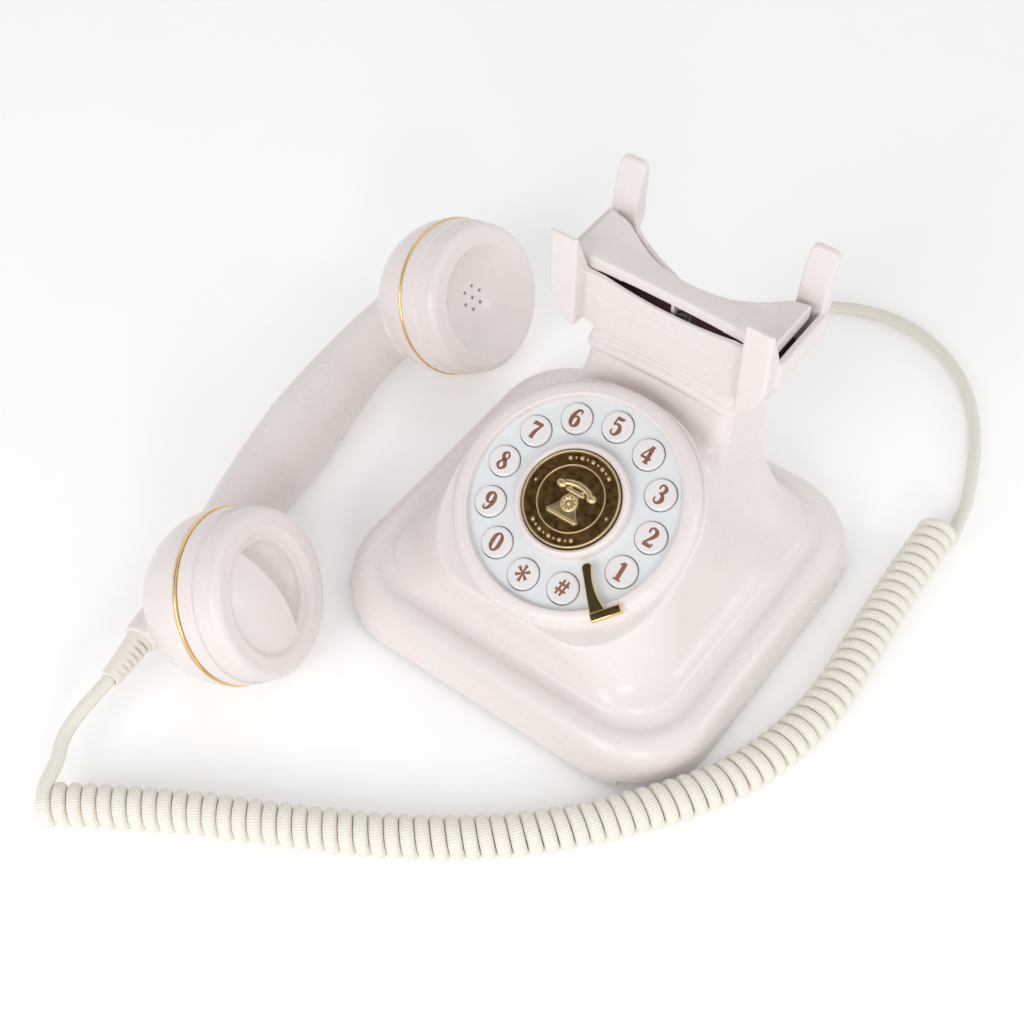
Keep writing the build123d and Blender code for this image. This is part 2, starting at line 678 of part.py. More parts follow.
def make_handset_shells():
    """Main moulding and the rear cover of the handle."""
    shell = handset_volume() - handset_hollow()
    relief_seat = Pos((BOSS_END - 96) / 2, 0, RELIEF_LEVEL) * Rot(0, 90, 0) * Cylinder(4.9, -96 - BOSS_END)
    shell -= relief_seat
    for x in (-PLUG_SPOT, PLUG_SPOT):
        level_front = HANDLE_LEVEL + HANDLE_HALF_THICK
        boss = post(3.4, x, 0, HANDLE_LEVEL - HANDLE_HALF_THICK + 1, level_front - 1)
        shell += boss
        shell -= post(PLUG_RADIUS + 0.05, x, 0, level_front - 2.0, level_front + 4)
        shell -= post(SCREW_HEAD + 0.1, x, 0, level_front - 4.2, level_front)
        shell -= post(SCREW_SHANK + 0.1, x, 0, -36.0, level_front)
    rear = shell & block(-76, 76, -40, 40, -70, HANDSET_SPLIT)
    front = shell - block(-76, 76, -40, 40, -70, HANDSET_SPLIT)
    rear = rear.solids().sort_by(SortBy.VOLUME)[-1]
    front = front.solids().sort_by(SortBy.VOLUME)[-1]
    return on_handset(front), on_handset(rear)


PLUG_SPOT = 28.0
PLUG_RADIUS = 4.4


def make_screw_plugs():
    """Two round covers over the handle's screws."""
    front = HANDLE_LEVEL + HANDLE_HALF_THICK
    plugs = []
    for x in (-PLUG_SPOT, PLUG_SPOT):
        plug = post(PLUG_RADIUS, x, 0, front - 2.0, front + 2)
        plug = plug & (handle_volume(0) + Pos(0, 0, 0.15) * handle_volume(0))
        plugs.append(on_handset(plug))
    return Compound(children=plugs)


def make_handle_screws():
    """Two screws that join the handle's mouldings."""
    front = HANDLE_LEVEL + HANDLE_HALF_THICK
    screws = []
    for x in (-PLUG_SPOT, PLUG_SPOT):
        head = post(SCREW_HEAD, x, 0, front - 4.1, front - 2.4)
        screws.append(on_handset(head + post(SCREW_SHANK, x, 0, -35.8, front - 4.1)))
    return Compound(children=screws)


def make_gold_ring(side):
    """Polished trim ring between a cup and its cap."""
    ring = disc(31.0, 0.05, 1.3) - disc(CUP_RADIUS - 3.0, -1, 3)
    ring = fillet(ring.edges().filter_by(GeomType.CIRCLE).group_by(SortBy.RADIUS)[-1], 0.5)
    return on_handset(on_cup(side, ring))


CAP_FACE = 16.6


def cap_body(dish_radius, dish_depth):
    """Stepped screw cap with a dished face."""
    inner = 26.2
    profile = (
        Polyline((0, 1.35), (30.4, 1.35), (30.2, 7.4), (29.4, 8.2), (29.0, 13.4))
        + ThreePointArc((29.0, 13.4), (28.2, 15.8), (26.2, CAP_FACE))
        + Line((26.2, CAP_FACE), (dish_radius, CAP_FACE - 0.4))
        + ThreePointArc(
            (dish_radius, CAP_FACE - 0.4),
            (dish_radius * 0.62, CAP_FACE - dish_depth * 0.72),
            (0, CAP_FACE - dish_depth),
        )
        + Line((0, CAP_FACE - dish_depth), (0, 1.35))
    )
    cap = revolve(Plane.XZ * make_face(profile), Axis.Z)
    hollow = disc(inner, 0, CAP_FACE - dish_depth - 2.4)
    return cap - hollow


def make_ear_cap():
    """Ear cap with seven sound holes in its dish."""
    cap = cap_body(20.9, 7.6)
    cap -= disc(0.75, 0, 20)
    for step in range(6):
        x, y = polar(4.6, 60 * step)
        cap -= post(0.75, x, y, 0, 20)
    return on_handset(on_cup(1, cap))


def make_mouth_cap():
    """Mouth cap with a scooped hood across its dish and fine sound holes."""
    cap = cap_body(21.9, 7.2)
    hood_space = disc(21.5, CAP_FACE - 7.4, CAP_FACE - 0.6)
    half_plane = Rot(0, 0, HOOD_ANGLE) * block(-40, HOOD_EDGE, -40, 40, 0, 40)
    dome = Pos(0, 0, CAP_FACE - 36.0) * Sphere(37.2)
    cap += hood_space & half_plane & dome
    for step in range(5):
        x, y = polar(2.4, 72 * step)
        centre = Rot(0, 0, HOOD_ANGLE) * Pos(9.5, 0, 0)
        cap -= centre * post(0.45, x, y, 0, 20)
    return on_handset(on_cup(-1, cap))


HOOD_ANGLE = 0.0
HOOD_EDGE = 2.0


def make_capsule(side, radius, height):
    """Sound capsule behind a cap, with its terminal plate."""
    can = disc(radius, 1.0 - height, 1.0) + disc(radius - 5, -height - 0.5, 1.0 - height)
    return on_handset(on_cup(side, fillet(can.edges().sort_by(Axis.Z)[-1], 0.6)))


def make_handset_weight():
    """Steel bar that gives the handset its weight."""
    bar = block(-22, 22, -8, 8, HANDLE_LEVEL - 2.5, HANDLE_LEVEL + 4.5)
    return on_handset(fillet(bar.edges().filter_by(Axis.X), 1.5))


def make_strain_relief():
    """Tapered, slotted sleeve where the cord enters the handset."""
    length = BOSS_END - RELIEF_END
    sleeve = Pos(0, 0, 0) * Cone(4.75, 3.6, length, align=(Align.CENTER, Align.CENTER, Align.MIN))
    sleeve += Pos(0, 0, -7.8) * Cylinder(4.75, 7.8, align=(Align.CENTER, Align.CENTER, Align.MIN))
    for step in range(6):
        low = 1.8 + 2.5 * step
        sleeve -= block(3.1, 8.0, -6, 6, low, low + 1.0)
        sleeve -= block(-8.0, -3.1, -6, 6, low, low + 1.0)
    sleeve -= disc(CORD_DIAMETER / 2, -10, length + 1)
    place = Plane(origin=(BOSS_END, 0, RELIEF_LEVEL), x_dir=(0, 0, 1), z_dir=(-1, 0, 0))
    return on_handset(place.location * sleeve)


# ---------------------------------------------------------------- cord
# Route of the cord by its corner points. The lead from the handset ends just short of the
# coil, and the lead to the base starts inside the coil's last turn.
def handset_point(x, y, z):
    """Point given in the handset's axes, as a world point."""
    return HANDSET.from_local_coords(Vector(x, y, z))


HANDSET_LEAD = (
    (-100.3, -158.0, 16.0),
    (-99.4, -168.5, 13.8),
    (-95.5, -175.5, 12.8),
    (-91.5, -180.0, 12.8),
)
COIL_ROUTE = (
    (-88.5, -188.8, 7.6),
    (-57.0, -167.4, 7.6),
    (-22.0, -149.0, 7.6),
    (12.0, -129.5, 7.6),
    (43.0, -106.0, 7.6),
    (68.0, -77.0, 7.6),
    (88.5, -45.5, 7.6),
    (97.0, -9.0, 7.6),
    (94.6, 27.0, 7.6),
    (92.6, 58.0, 7.6),
    (92.2, 84.5, 7.6),
)
BASE_LEAD = (
    (94.6, 82.0, 4.4),
    (96.8, 98.0, 2.6),
    (89.4, 121.0, 2.5),
    (79.2, 144.5, 2.5),
    (63.0, 165.0, 2.5),
    (40.0, 177.6, 2.5),
    (15.0, 177.4, 2.5),
    (-7.5, 163.5, 2.5),
    (-20.5, 141.5, 2.5),
    (-25.6, 118.0, 2.6),
    (-24.8, 101.0, 5.4),
    (-25.0, 86.0, 9.0),
)


def corner_radii(points):
    """Largest radius that each corner's two runs allow."""
    radii = []
    for before, here, after in zip(points, points[1:], points[2:]):
        first = Vector(*here) - Vector(*before)
        second = Vector(*after) - Vector(*here)
        half_turn = math.radians(first.get_angle(second)) / 2
        shorter = min(first.length, second.length)
        radii.append(0.45 * shorter / math.tan(half_turn))
    return radii


def tube(points, diameter, name):
    """Round tube along straight runs joined by tangent arcs."""
    radii = corner_radii(points)
    path = FilletPolyline(*[Vector(*p) for p in points], radius=radii)
    section = Plane(origin=path @ 0, z_dir=path % 0) * Circle(diameter / 2)
    solid = sweep(section, path)
    expected = math.pi * diameter ** 2 / 4 * path.length
    print(name, "length", round(path.length, 1), "volume ratio", round(solid.volume / expected, 4),
          "radii", [round(radius) for radius in radii])
    return solid


def make_handset_lead():
    """Short straight stretch of cord between the strain relief and the coil."""
    start = handset_point(BOSS_END + 3.0, 0, RELIEF_LEVEL)
    exit_point = handset_point(RELIEF_END, 0, RELIEF_LEVEL)
    points = [tuple(start), tuple(exit_point + (exit_point - start).normalized() * 1.0)]
    return tube(points + list(HANDSET_LEAD), CORD_DIAMETER, "handset lead")


def make_cord_plug():
    """Modular plug in the base's handset jack."""
    x = HANDSET_JACK_X
    body = block(x - 3.85, x + 3.85, 61.5, 80.0, BASE_TOP + 1.35, BASE_TOP + 7.85)
    sleeve = Pos(x, 83.0, 9.0) * Rot(90, 0, 0) * Cone(3.0, 3.6, 6.0)
    return body + sleeve


# ---------------------------------------------------------------- write the parts
save("base_housing", make_base_housing())
save("base_plate", make_base_plate())
save("rubber_feet", make_rubber_feet())
save("base_screws", make_base_screws())
save("ballast_plate", make_ballast())
save("ringer_speaker", make_speaker())
save("main_board", make_main_board())
save("handset_jack", make_jack(HANDSET_JACK_X))
save("line_jack", make_jack(LINE_JACK_X))
save("ringer_switch", make_slide_switch_body(RINGER_SWITCH_X))
save("ringer_switch_knob", make_slide_switch_knob(RINGER_SWITCH_X))
save("dial_mode_switch", make_slide_switch_body(DIAL_MODE_SWITCH_X))
save("dial_mode_switch_knob", make_slide_switch_knob(DIAL_MODE_SWITCH_X))

save("dial_bezel", make_bezel())
save("dial_plate", make_dial_plate())
KEY_NAMES = ("1", "2", "3", "4", "5", "6", "7", "8", "9", "0", "star", "hash")
for key_index, key_name in enumerate(KEY_NAMES):
    save(f"button_{key_name}", make_button(key_index))
save("key_mat", make_key_mat())
save("key_board", make_key_board())
save("key_board_screws", make_key_board_screws())
save("medallion_collar", make_medallion_collar())
save("medallion_button", make_medallion_button())
save("medallion_pin", make_medallion_pin())
save("finger_stop", make_finger_stop())

save("cradle_yoke", make_cradle_yoke())
save("cradle_saddle", make_cradle_saddle())
save("saddle_spring", make_saddle_spring())
save("hook_switch", make_hook_switch())

handset_body, handle_rear_cover = make_handset_shells()
save("handset_body", handset_body)
save("handle_rear_cover", handle_rear_cover)
save("handle_screws", make_handle_screws())
save("screw_plugs", make_screw_plugs())
save("ear_ring", make_gold_ring(1))
save("mouth_ring", make_gold_ring(-1))
save("ear_cap", make_ear_cap())
save("mouth_cap", make_mouth_cap())
save("receiver_capsule", make_capsule(1, 22.0, 9.0))
save("microphone_capsule", make_capsule(-1, 16.0, 7.0))
save("handset_weight", make_handset_weight())
save("strain_relief", make_strain_relief())

save("cord_handset_lead", make_handset_lead())
save("curly_cord", tube(COIL_ROUTE, COIL_DIAMETER, "coil"))
save("cord_base_lead", tube(BASE_LEAD, CORD_DIAMETER, "base lead"))
save("cord_plug", make_cord_plug())
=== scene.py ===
"""Looks of the retro push-button telephone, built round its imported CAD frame."""
import json
import math
import bmesh
import bpy
import numpy as np
from mathutils import Matrix, Vector


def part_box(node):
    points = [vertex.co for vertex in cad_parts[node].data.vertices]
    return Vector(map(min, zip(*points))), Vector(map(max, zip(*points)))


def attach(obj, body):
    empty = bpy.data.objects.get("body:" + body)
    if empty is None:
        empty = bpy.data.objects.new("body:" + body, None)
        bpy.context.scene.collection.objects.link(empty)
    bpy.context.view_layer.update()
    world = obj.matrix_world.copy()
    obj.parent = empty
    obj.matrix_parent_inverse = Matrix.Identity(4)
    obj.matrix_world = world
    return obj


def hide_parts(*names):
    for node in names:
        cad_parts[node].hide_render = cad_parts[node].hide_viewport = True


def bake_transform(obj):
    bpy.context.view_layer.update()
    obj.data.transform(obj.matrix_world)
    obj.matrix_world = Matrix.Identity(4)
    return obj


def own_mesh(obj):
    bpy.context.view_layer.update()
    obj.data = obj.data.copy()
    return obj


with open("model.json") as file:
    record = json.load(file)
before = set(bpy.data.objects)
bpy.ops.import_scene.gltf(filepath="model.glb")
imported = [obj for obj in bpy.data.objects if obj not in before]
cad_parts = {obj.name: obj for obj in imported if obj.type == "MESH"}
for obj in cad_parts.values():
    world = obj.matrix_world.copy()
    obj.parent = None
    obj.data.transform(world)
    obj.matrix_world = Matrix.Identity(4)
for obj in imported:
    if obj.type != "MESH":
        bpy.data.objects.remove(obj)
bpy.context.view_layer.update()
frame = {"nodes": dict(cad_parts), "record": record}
MM = 0.001


def add_object(name, data):
    """Object in the scene that shows the given data."""
    made = bpy.data.objects.new(name, data)
    bpy.context.scene.collection.objects.link(made)
    return made


def add_node(tree, kind, inputs=(), **settings):
    """Shader node; each input takes a value or another node's output."""
    node = tree.nodes.new("ShaderNode" + kind)
    for name, value in settings.items():
        setattr(node, name, value)
    for name, value in dict(inputs).items():
        if isinstance(value, bpy.types.NodeSocket):
            tree.links.new(value, node.inputs[name])
        else:
            node.inputs[name].default_value = value
    return node


# ---------------------------------------------------------------- camera and light
VIEW_TARGET = Vector((-0.0303, -0.0129, 0.0260))
VIEW_AZIMUTH = math.radians(36.56)
VIEW_ELEVATION = math.radians(51.67)
VIEW_DISTANCE = 0.5878
VIEW_LENS = 57.9
LIGHT_DISTANCE = 1.3


def look_from(azimuth, elevation, distance):
    """Point at that distance from the target."""
    level = math.cos(elevation)
    away = Vector((math.sin(azimuth) * level, -math.cos(azimuth) * level, math.sin(elevation)))
    return VIEW_TARGET + away * distance


def add_camera():
    """Camera at the photograph's viewing angle."""
    data = bpy.data.cameras.new("camera")
    data.lens = VIEW_LENS
    data.sensor_width = 36.0
    camera = add_object("camera", data)
    camera.location = look_from(VIEW_AZIMUTH, VIEW_ELEVATION, VIEW_DISTANCE)
    camera.rotation_euler = (VIEW_TARGET - camera.location).to_track_quat("-Z", "Y").to_euler()
    bpy.context.scene.camera = camera


def add_light(name, azimuth, elevation, size, power):
    """Square soft light aimed at the target."""
    data = bpy.data.lights.new(name, "AREA")
    data.shape = "SQUARE"
    data.size = size
    data.energy = power
    lamp = add_object(name, data)
    lamp.location = look_from(math.radians(azimuth), math.radians(elevation), LIGHT_DISTANCE)
    lamp.rotation_euler = (VIEW_TARGET - lamp.location).to_track_quat("-Z", "Y").to_euler()


DARK_OPENING = (-0.369, -0.372, 0.852)     # the unlit ceiling that the dial's metal mirrors
OPENING_EDGE = math.cos(math.radians(34))
OPENING_HEART = math.cos(math.radians(18))


def add_world(strength):
    """White surroundings with one dark opening overhead."""
    world = bpy.data.worlds.new("studio")
    world.use_nodes = True
    tree = world.node_tree
    background = tree.nodes["Background"]
    background.inputs["Strength"].default_value = strength
    place = add_node(tree, "TexCoord")
    facing = add_node(tree, "VectorMath", {
        0: place.outputs["Generated"], 1: DARK_OPENING,
    }, operation="DOT_PRODUCT")
    edge = add_node(tree, "MapRange", {
        "From Min": OPENING_EDGE, "From Max": OPENING_HEART, "To Min": 1.0, "To Max": 0.06,
        "Value": facing.outputs["Value"],
    }, interpolation_type="SMOOTHSTEP")
    tree.links.new(edge.outputs["Result"], background.inputs["Color"])
    bpy.context.scene.world = world


add_camera()
add_world(0.85)
add_light("key", 0, 32, 0.6, 4.8)
add_light("front", 44, 24, 0.22, 2.0)
add_light("side", 115, 16, 0.25, 1.2)
bpy.context.scene.view_settings.view_transform = "Standard"


# ---------------------------------------------------------------- materials
def new_material(name, colour, roughness, metallic=0.0):
    """Principled material, with its node tree and shader."""
    made = bpy.data.materials.new(name)
    made.use_nodes = True
    shader = made.node_tree.nodes["Principled BSDF"]
    shader.inputs["Base Color"].default_value = (*colour, 1.0)
    shader.inputs["Roughness"].default_value = roughness
    shader.inputs["Metallic"].default_value = metallic
    made.diffuse_color = (*colour, 1.0)
    return made, made.node_tree, shader


def add_noise(tree, size_mm, detail=3.0):
    """Noise whose features are about that many millimetres across, in the object's own space."""
    place = add_node(tree, "TexCoord")
    noise = add_node(tree, "TexNoise", {
        "Scale": 1 / (size_mm * MM), "Detail": detail, "Roughness": 0.55,
        "Vector": place.outputs["Object"],
    })
    return noise.outputs["Fac"]


def add_range(tree, value, low, high, start=0.25, end=0.75):
    """Map a value between start and end to another range."""
    spread = add_node(tree, "MapRange", {
        "From Min": start, "From Max": end, "To Min": low, "To Max": high, "Value": value,
    })
    return spread.outputs["Result"]


def add_mix(tree, amount, first, second):
    """Blend of two colours; the first may be another node's output."""
    if isinstance(first, tuple):
        first = (*first, 1.0)
    mix = add_node(tree, "Mix", data_type="RGBA")
    for name, value in (("A", first), ("B", (*second, 1.0)), ("Factor", amount)):
        if isinstance(value, tuple):
            mix.inputs[name].default_value = value
        else:
            tree.links.new(value, mix.inputs[name])
    return mix.outputs["Result"]


def add_bump(tree, shader, height, strength, depth_mm):
    """Drive the shader's normal from a height."""
    bump = add_node(tree, "Bump", {
        "Strength": strength, "Distance": depth_mm * MM, "Height": height,
    })
    tree.links.new(bump.outputs["Normal"], shader.inputs["Normal"])


def moulded_plastic(name, colour, shade, roughness, grain_mm=0.45, grain_strength=0.04):
    """Injection-moulded plastic: faint mottling, uneven gloss and a fine skin texture."""
    made, tree, shader = new_material(name, colour, roughness)
    mottle = add_range(tree, add_noise(tree, 30.0), 0.0, 1.0)
    tree.links.new(add_mix(tree, mottle, colour, shade), shader.inputs["Base Color"])
    gloss = add_range(tree, add_noise(tree, 9.0, 4.0), roughness - 0.03, roughness + 0.04)
    tree.links.new(gloss, shader.inputs["Roughness"])
    add_bump(tree, shader, add_noise(tree, grain_mm, 2.0), grain_strength, 0.02)
    shader.inputs["IOR"].default_value = 1.5
    return made


def metal(name, colour, shade, roughness, mottle_mm=6.0, grain_strength=0.05):
    """Plated or bare metal with uneven tint and gloss."""
    made, tree, shader = new_material(name, colour, roughness, 1.0)
    mottle = add_range(tree, add_noise(tree, mottle_mm, 5.0), 0.0, 1.0)
    tree.links.new(add_mix(tree, mottle, colour, shade), shader.inputs["Base Color"])
    gloss = add_range(tree, add_noise(tree, 1.5, 4.0), roughness * 0.75, roughness * 1.3)
    tree.links.new(gloss, shader.inputs["Roughness"])
    add_bump(tree, shader, add_noise(tree, 0.6, 2.0), grain_strength, 0.02)
    return made


SHELL = moulded_plastic("shell_plastic", (0.82, 0.75, 0.73), (0.81, 0.735, 0.715), 0.28)
DIAL_WHITE = moulded_plastic("dial_plastic", (0.80, 0.83, 0.845), (0.785, 0.815, 0.835), 0.38)
KEY_WHITE = moulded_plastic("key_plastic", (0.83, 0.80, 0.80), (0.82, 0.79, 0.79), 0.30)
GOLD = metal("gold_plate", (0.92, 0.66, 0.30), (0.85, 0.60, 0.27), 0.16)
BRONZE = metal("bronze_raised", (0.55, 0.40, 0.19), (0.38, 0.26, 0.11), 0.30, 2.0, 0.3)
NUMERAL_PAINT = metal("copper_print", (0.52, 0.25, 0.17), (0.44, 0.20, 0.13), 0.50, 1.5, 0.1)
STEEL = metal("zinc_steel", (0.55, 0.56, 0.58), (0.45, 0.46, 0.48), 0.35)
BLACK_PLASTIC = moulded_plastic("black_plastic", (0.02, 0.02, 0.022), (0.03, 0.03, 0.03), 0.45)
RUBBER = moulded_plastic("black_rubber", (0.018, 0.018, 0.018), (0.03, 0.03, 0.03), 0.75, 0.3, 0.4)
GREY_RUBBER = moulded_plastic("grey_silicone", (0.45, 0.45, 0.47), (0.42, 0.42, 0.44), 0.6)
BOARD = moulded_plastic("green_board", (0.02, 0.12, 0.05), (0.03, 0.16, 0.07), 0.4)
RELIEF_PLASTIC = moulded_plastic("cream_relief", (0.88, 0.82, 0.75), (0.85, 0.79, 0.72), 0.45)
PLUG_PLASTIC = moulded_plastic("plug_plastic", (0.70, 0.68, 0.62), (0.66, 0.64, 0.58), 0.25)
# Dark maroon sheet for the cradle cavity's floor: painted shade for the dark gap under the saddle.
GAP_SHADE_SHEET = moulded_plastic("maroon_painted_shade", (0.055, 0.012, 0.014), (0.08, 0.02, 0.02), 0.9, 0.5, 0.6)
FLOOR = moulded_plastic("floor_paper", (0.97, 0.97, 0.97), (0.96, 0.96, 0.96), 0.9)
GLOW = FLOOR.node_tree.nodes["Principled BSDF"].inputs
GLOW["Emission Color"].default_value = (1.0, 1.0, 1.0, 1.0)
GLOW["Emission Strength"].default_value = 0.11


# ---------------------------------------------------------------- mesh making
def add_mesh(name, points_mm, faces, material, normals=None):
    """Smooth-shaded mesh object from points in millimetres."""
    data = bpy.data.meshes.new(name)
    data.from_pydata((np.asarray(points_mm, float) * MM).tolist(), [], np.asarray(faces).tolist())
    data.shade_smooth()
    if normals is not None:
        data.normals_split_custom_set_from_vertices(normals.tolist())
    data.materials.append(material)
    return add_object(name, data)


def grid_faces(rows, sides):
    """Quads between neighbouring rings of points."""
    faces = []
    for row in range(rows - 1):
        here, above = row * sides, (row + 1) * sides
        for j in range(sides):
            k = (j + 1) % sides
            faces.append((here + j, here + k, above + k, above + j))
    return faces


def distance_along(line):
    """Length of a line of points up to each of them."""
    return np.concatenate([[0], np.cumsum(np.linalg.norm(np.diff(line, axis=0), axis=1))])


def directions(line):
    """Unit vectors along a line of points."""
    way = np.gradient(line, axis=0)
    return way / np.maximum(np.linalg.norm(way, axis=1), 1e-9)[:, None]


def blend_min(a, b, radius):
    """Union of two distance fields with a concave fillet."""
    return np.maximum(radius, np.minimum(a, b)) - np.hypot(
        np.maximum(radius - a, 0), np.maximum(radius - b, 0)
    )


def blend_max(a, b, radius):
    """Overlap of two distance fields with a rounded edge."""
    return np.minimum(-radius, np.maximum(a, b)) + np.hypot(
        np.maximum(radius + a, 0), np.maximum(radius + b, 0)
    )


def round_rect(x, y, half_x, half_y, corner):
    """Distance to a rounded rectangle about the origin."""
    qx = np.abs(x) - half_x + corner
    qy = np.abs(y) - half_y + corner
    outside = np.hypot(np.maximum(qx, 0), np.maximum(qy, 0))
    return outside + np.minimum(np.maximum(qx, qy), 0) - corner


def curve_through(*points):
    """Smooth function through (position, value) points, level beyond the ends."""
    at = np.array([p[0] for p in points], float)
    value = np.array([p[1] for p in points], float)
    slope = np.gradient(value, at)

    def read(x):
        """Value of the curve at x."""
        x = np.clip(x, at[0], at[-1])
        i = np.clip(np.searchsorted(at, x, side="right") - 1, 0, len(at) - 2)
        gap = at[i + 1] - at[i]
        s = (x - at[i]) / gap
        rise = (1 + 2 * s) * (1 - s) ** 2 * value[i] + s * s * (3 - 2 * s) * value[i + 1]
        return rise + gap * (s * (1 - s) ** 2 * slope[i] + s * s * (s - 1) * slope[i + 1])

    return read


def gradient(field, points):
    """Slope of a field at each point."""
    offsets = 0.02 * np.eye(3)
    parts = [(field(*(points + o).T) - field(*(points - o).T)) / (2 * 0.02) for o in offsets]
    return np.stack(parts, 1)


CORNERS = [(i, j, k) for i in (0, 1) for j in (0, 1) for k in (0, 1)]
FLAT_SLOPE = 0.05       # least squared slope trusted when a point moves onto a surface


def skin(field, low, high, step):
    """Points, quads and normals of a distance field's surface inside a box, in millimetres."""
    axes = [np.arange(a, b + step, step) for a, b in zip(low, high)]
    value = field(*np.meshgrid(*axes, indexing="ij"))
    inside = value < 0
    shape = [n - 1 for n in value.shape]
    count = np.zeros(shape, np.int8)
    for i, j, k in CORNERS:
        count += inside[i:i + shape[0], j:j + shape[1], k:k + shape[2]]
    cells = np.argwhere((count > 0) & (count < 8))
    at_corner = [value[tuple((cells + c).T)] for c in CORNERS]
    total = np.zeros((len(cells), 3))
    hits = np.zeros(len(cells))
    for a in range(8):
        for b in range(a + 1, 8):
            way = np.subtract(CORNERS[b], CORNERS[a])
            if np.abs(way).sum() != 1:
                continue
            crosses = (at_corner[a] < 0) != (at_corner[b] < 0)
            span = np.where(crosses, at_corner[a] - at_corner[b], 1.0)
            share = np.where(crosses, at_corner[a] / span, 0.0)
            spot = np.array(CORNERS[a]) + share[:, None] * way
            total += np.where(crosses[:, None], spot, 0.0)
            hits += crosses
    points = (cells + total / hits[:, None]) * step + np.array(low)
    number = np.full(shape, -1)
    number[tuple(cells.T)] = np.arange(len(cells))
    quads = []
    for axis in range(3):
        before = np.take(inside, range(value.shape[axis] - 1), axis)
        after = np.take(inside, range(1, value.shape[axis]), axis)
        u = np.eye(3, dtype=int)[(axis + 1) % 3]
        v = np.eye(3, dtype=int)[(axis + 2) % 3]
        for here, turned in ((before & ~after, False), (after & ~before, True)):
            edge = np.argwhere(here)
            ring = [edge - u - v, edge - v, edge, edge - u]
            if turned:
                ring.reverse()
            quads.append(np.stack([number[tuple(c.T)] for c in ring], 1))
    quads = np.concatenate(quads)
    for _ in range(3):
        slope = gradient(field, points)
        move = field(*points.T) / np.maximum((slope ** 2).sum(1), FLAT_SLOPE)
        move = np.clip(move, -0.5 * step, 0.5 * step)
        points = points - move[:, None] * slope
    slope = gradient(field, points)
    normals = slope / np.linalg.norm(slope, axis=1)[:, None]
    return points, quads, normals


def add_skin(name, field, low, high, step, material, to_world=None):
    """Mesh object of a field's surface; to_world moves it from its own axes to the row frame."""
    points, quads, normals = skin(field, low, high, step)
    if to_world is not None:
        turn = np.array(to_world.to_3x3())
        points = points @ turn.T + np.array(to_world.translation)
        normals = normals @ turn.T
    return add_mesh(name, points, quads, material, normals)


def settle(piece, body, slot, *nodes):
    """Put a piece on its body, in place of CAD nodes."""
    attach(piece, body)
    if nodes:
        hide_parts(*nodes)
    return piece


CREASE = math.radians(38)


def lathe(name, profile, material, place, segments):
    """Surface of revolution about Z through (radius, height) points, moved by a matrix in mm."""
    turns = [2 * math.pi * step / segments for step in range(segments)]
    points = [
        tuple(place @ Vector((radius * math.cos(turn), radius * math.sin(turn), height)))
        for radius, height in profile for turn in turns
    ]
    made = add_mesh(name, points, grid_faces(len(profile), segments), material)
    shape = bmesh.new()
    shape.from_mesh(made.data)
    bmesh.ops.remove_doubles(shape, verts=shape.verts, dist=1e-6)
    bmesh.ops.dissolve_degenerate(shape, edges=shape.edges, dist=1e-6)
    bmesh.ops.recalc_face_normals(shape, faces=shape.faces)
    for edge in shape.edges:
        if len(edge.link_faces) == 2 and edge.calc_face_angle(0) > CREASE:
            edge.smooth = False
    shape.to_mesh(made.data)
    shape.free()
    return made


def arc(centre, radius, start, end, steps):
    """Points of a circular arc in a lathe's profile, angles in degrees."""
    found = []
    for i in range(steps + 1):
        turn = math.radians(start + (end - start) * i / steps)
        found.append((centre[0] + radius * math.cos(turn), centre[1] + radius * math.sin(turn)))
    return found


# ---------------------------------------------------------------- frames on the object
DIAL_TILT = math.radians(28.0)
DIAL_Y = -19.5
DIAL_Z = 61.0
DIAL = Matrix.Translation((0.0, DIAL_Y, DIAL_Z)) @ Matrix.Rotation(DIAL_TILT, 4, "X")
DIAL_FACE = -3.0
BUTTON_RING = 29.2
FIRST_BUTTON = -24.4
BUTTON_STEP = 29.04

HANDSET_ORIGIN = (-96.1, -21.4, 30.65)
HANDSET_AZIMUTH = math.radians(10.0)
HANDSET_ELEVATION = math.radians(27.5)
CUP_SPACING = 80.8
CUP_TILT = math.radians(9.2)
CUP_RADIUS = 30.6
BOSS_END = -104.0
RELIEF_END = -121.6
RELIEF_LEVEL = -29.0


def handset_matrix():
    """Matrix whose X runs from mouth to ear and whose Z is where the cups face."""
    along = Vector((-math.sin(HANDSET_AZIMUTH), math.cos(HANDSET_AZIMUTH), 0.0))
    level = math.cos(HANDSET_ELEVATION)
    facing = Vector((
        math.cos(HANDSET_AZIMUTH) * level,
        math.sin(HANDSET_AZIMUTH) * level,
        math.sin(HANDSET_ELEVATION),
    ))
    turn = Matrix((along, facing.cross(along), facing)).transposed().to_4x4()
    return Matrix.Translation(HANDSET_ORIGIN) @ turn


HANDSET = handset_matrix()


def cup_matrix(side):
    """Axes of a cup, with its rim at zero; side is 1 for the ear and -1 for the mouth."""
    tilt = Matrix.Rotation(-side * CUP_TILT, 4, "Y")
    return HANDSET @ Matrix.Translation((side * CUP_SPACING, 0, 0)) @ tilt


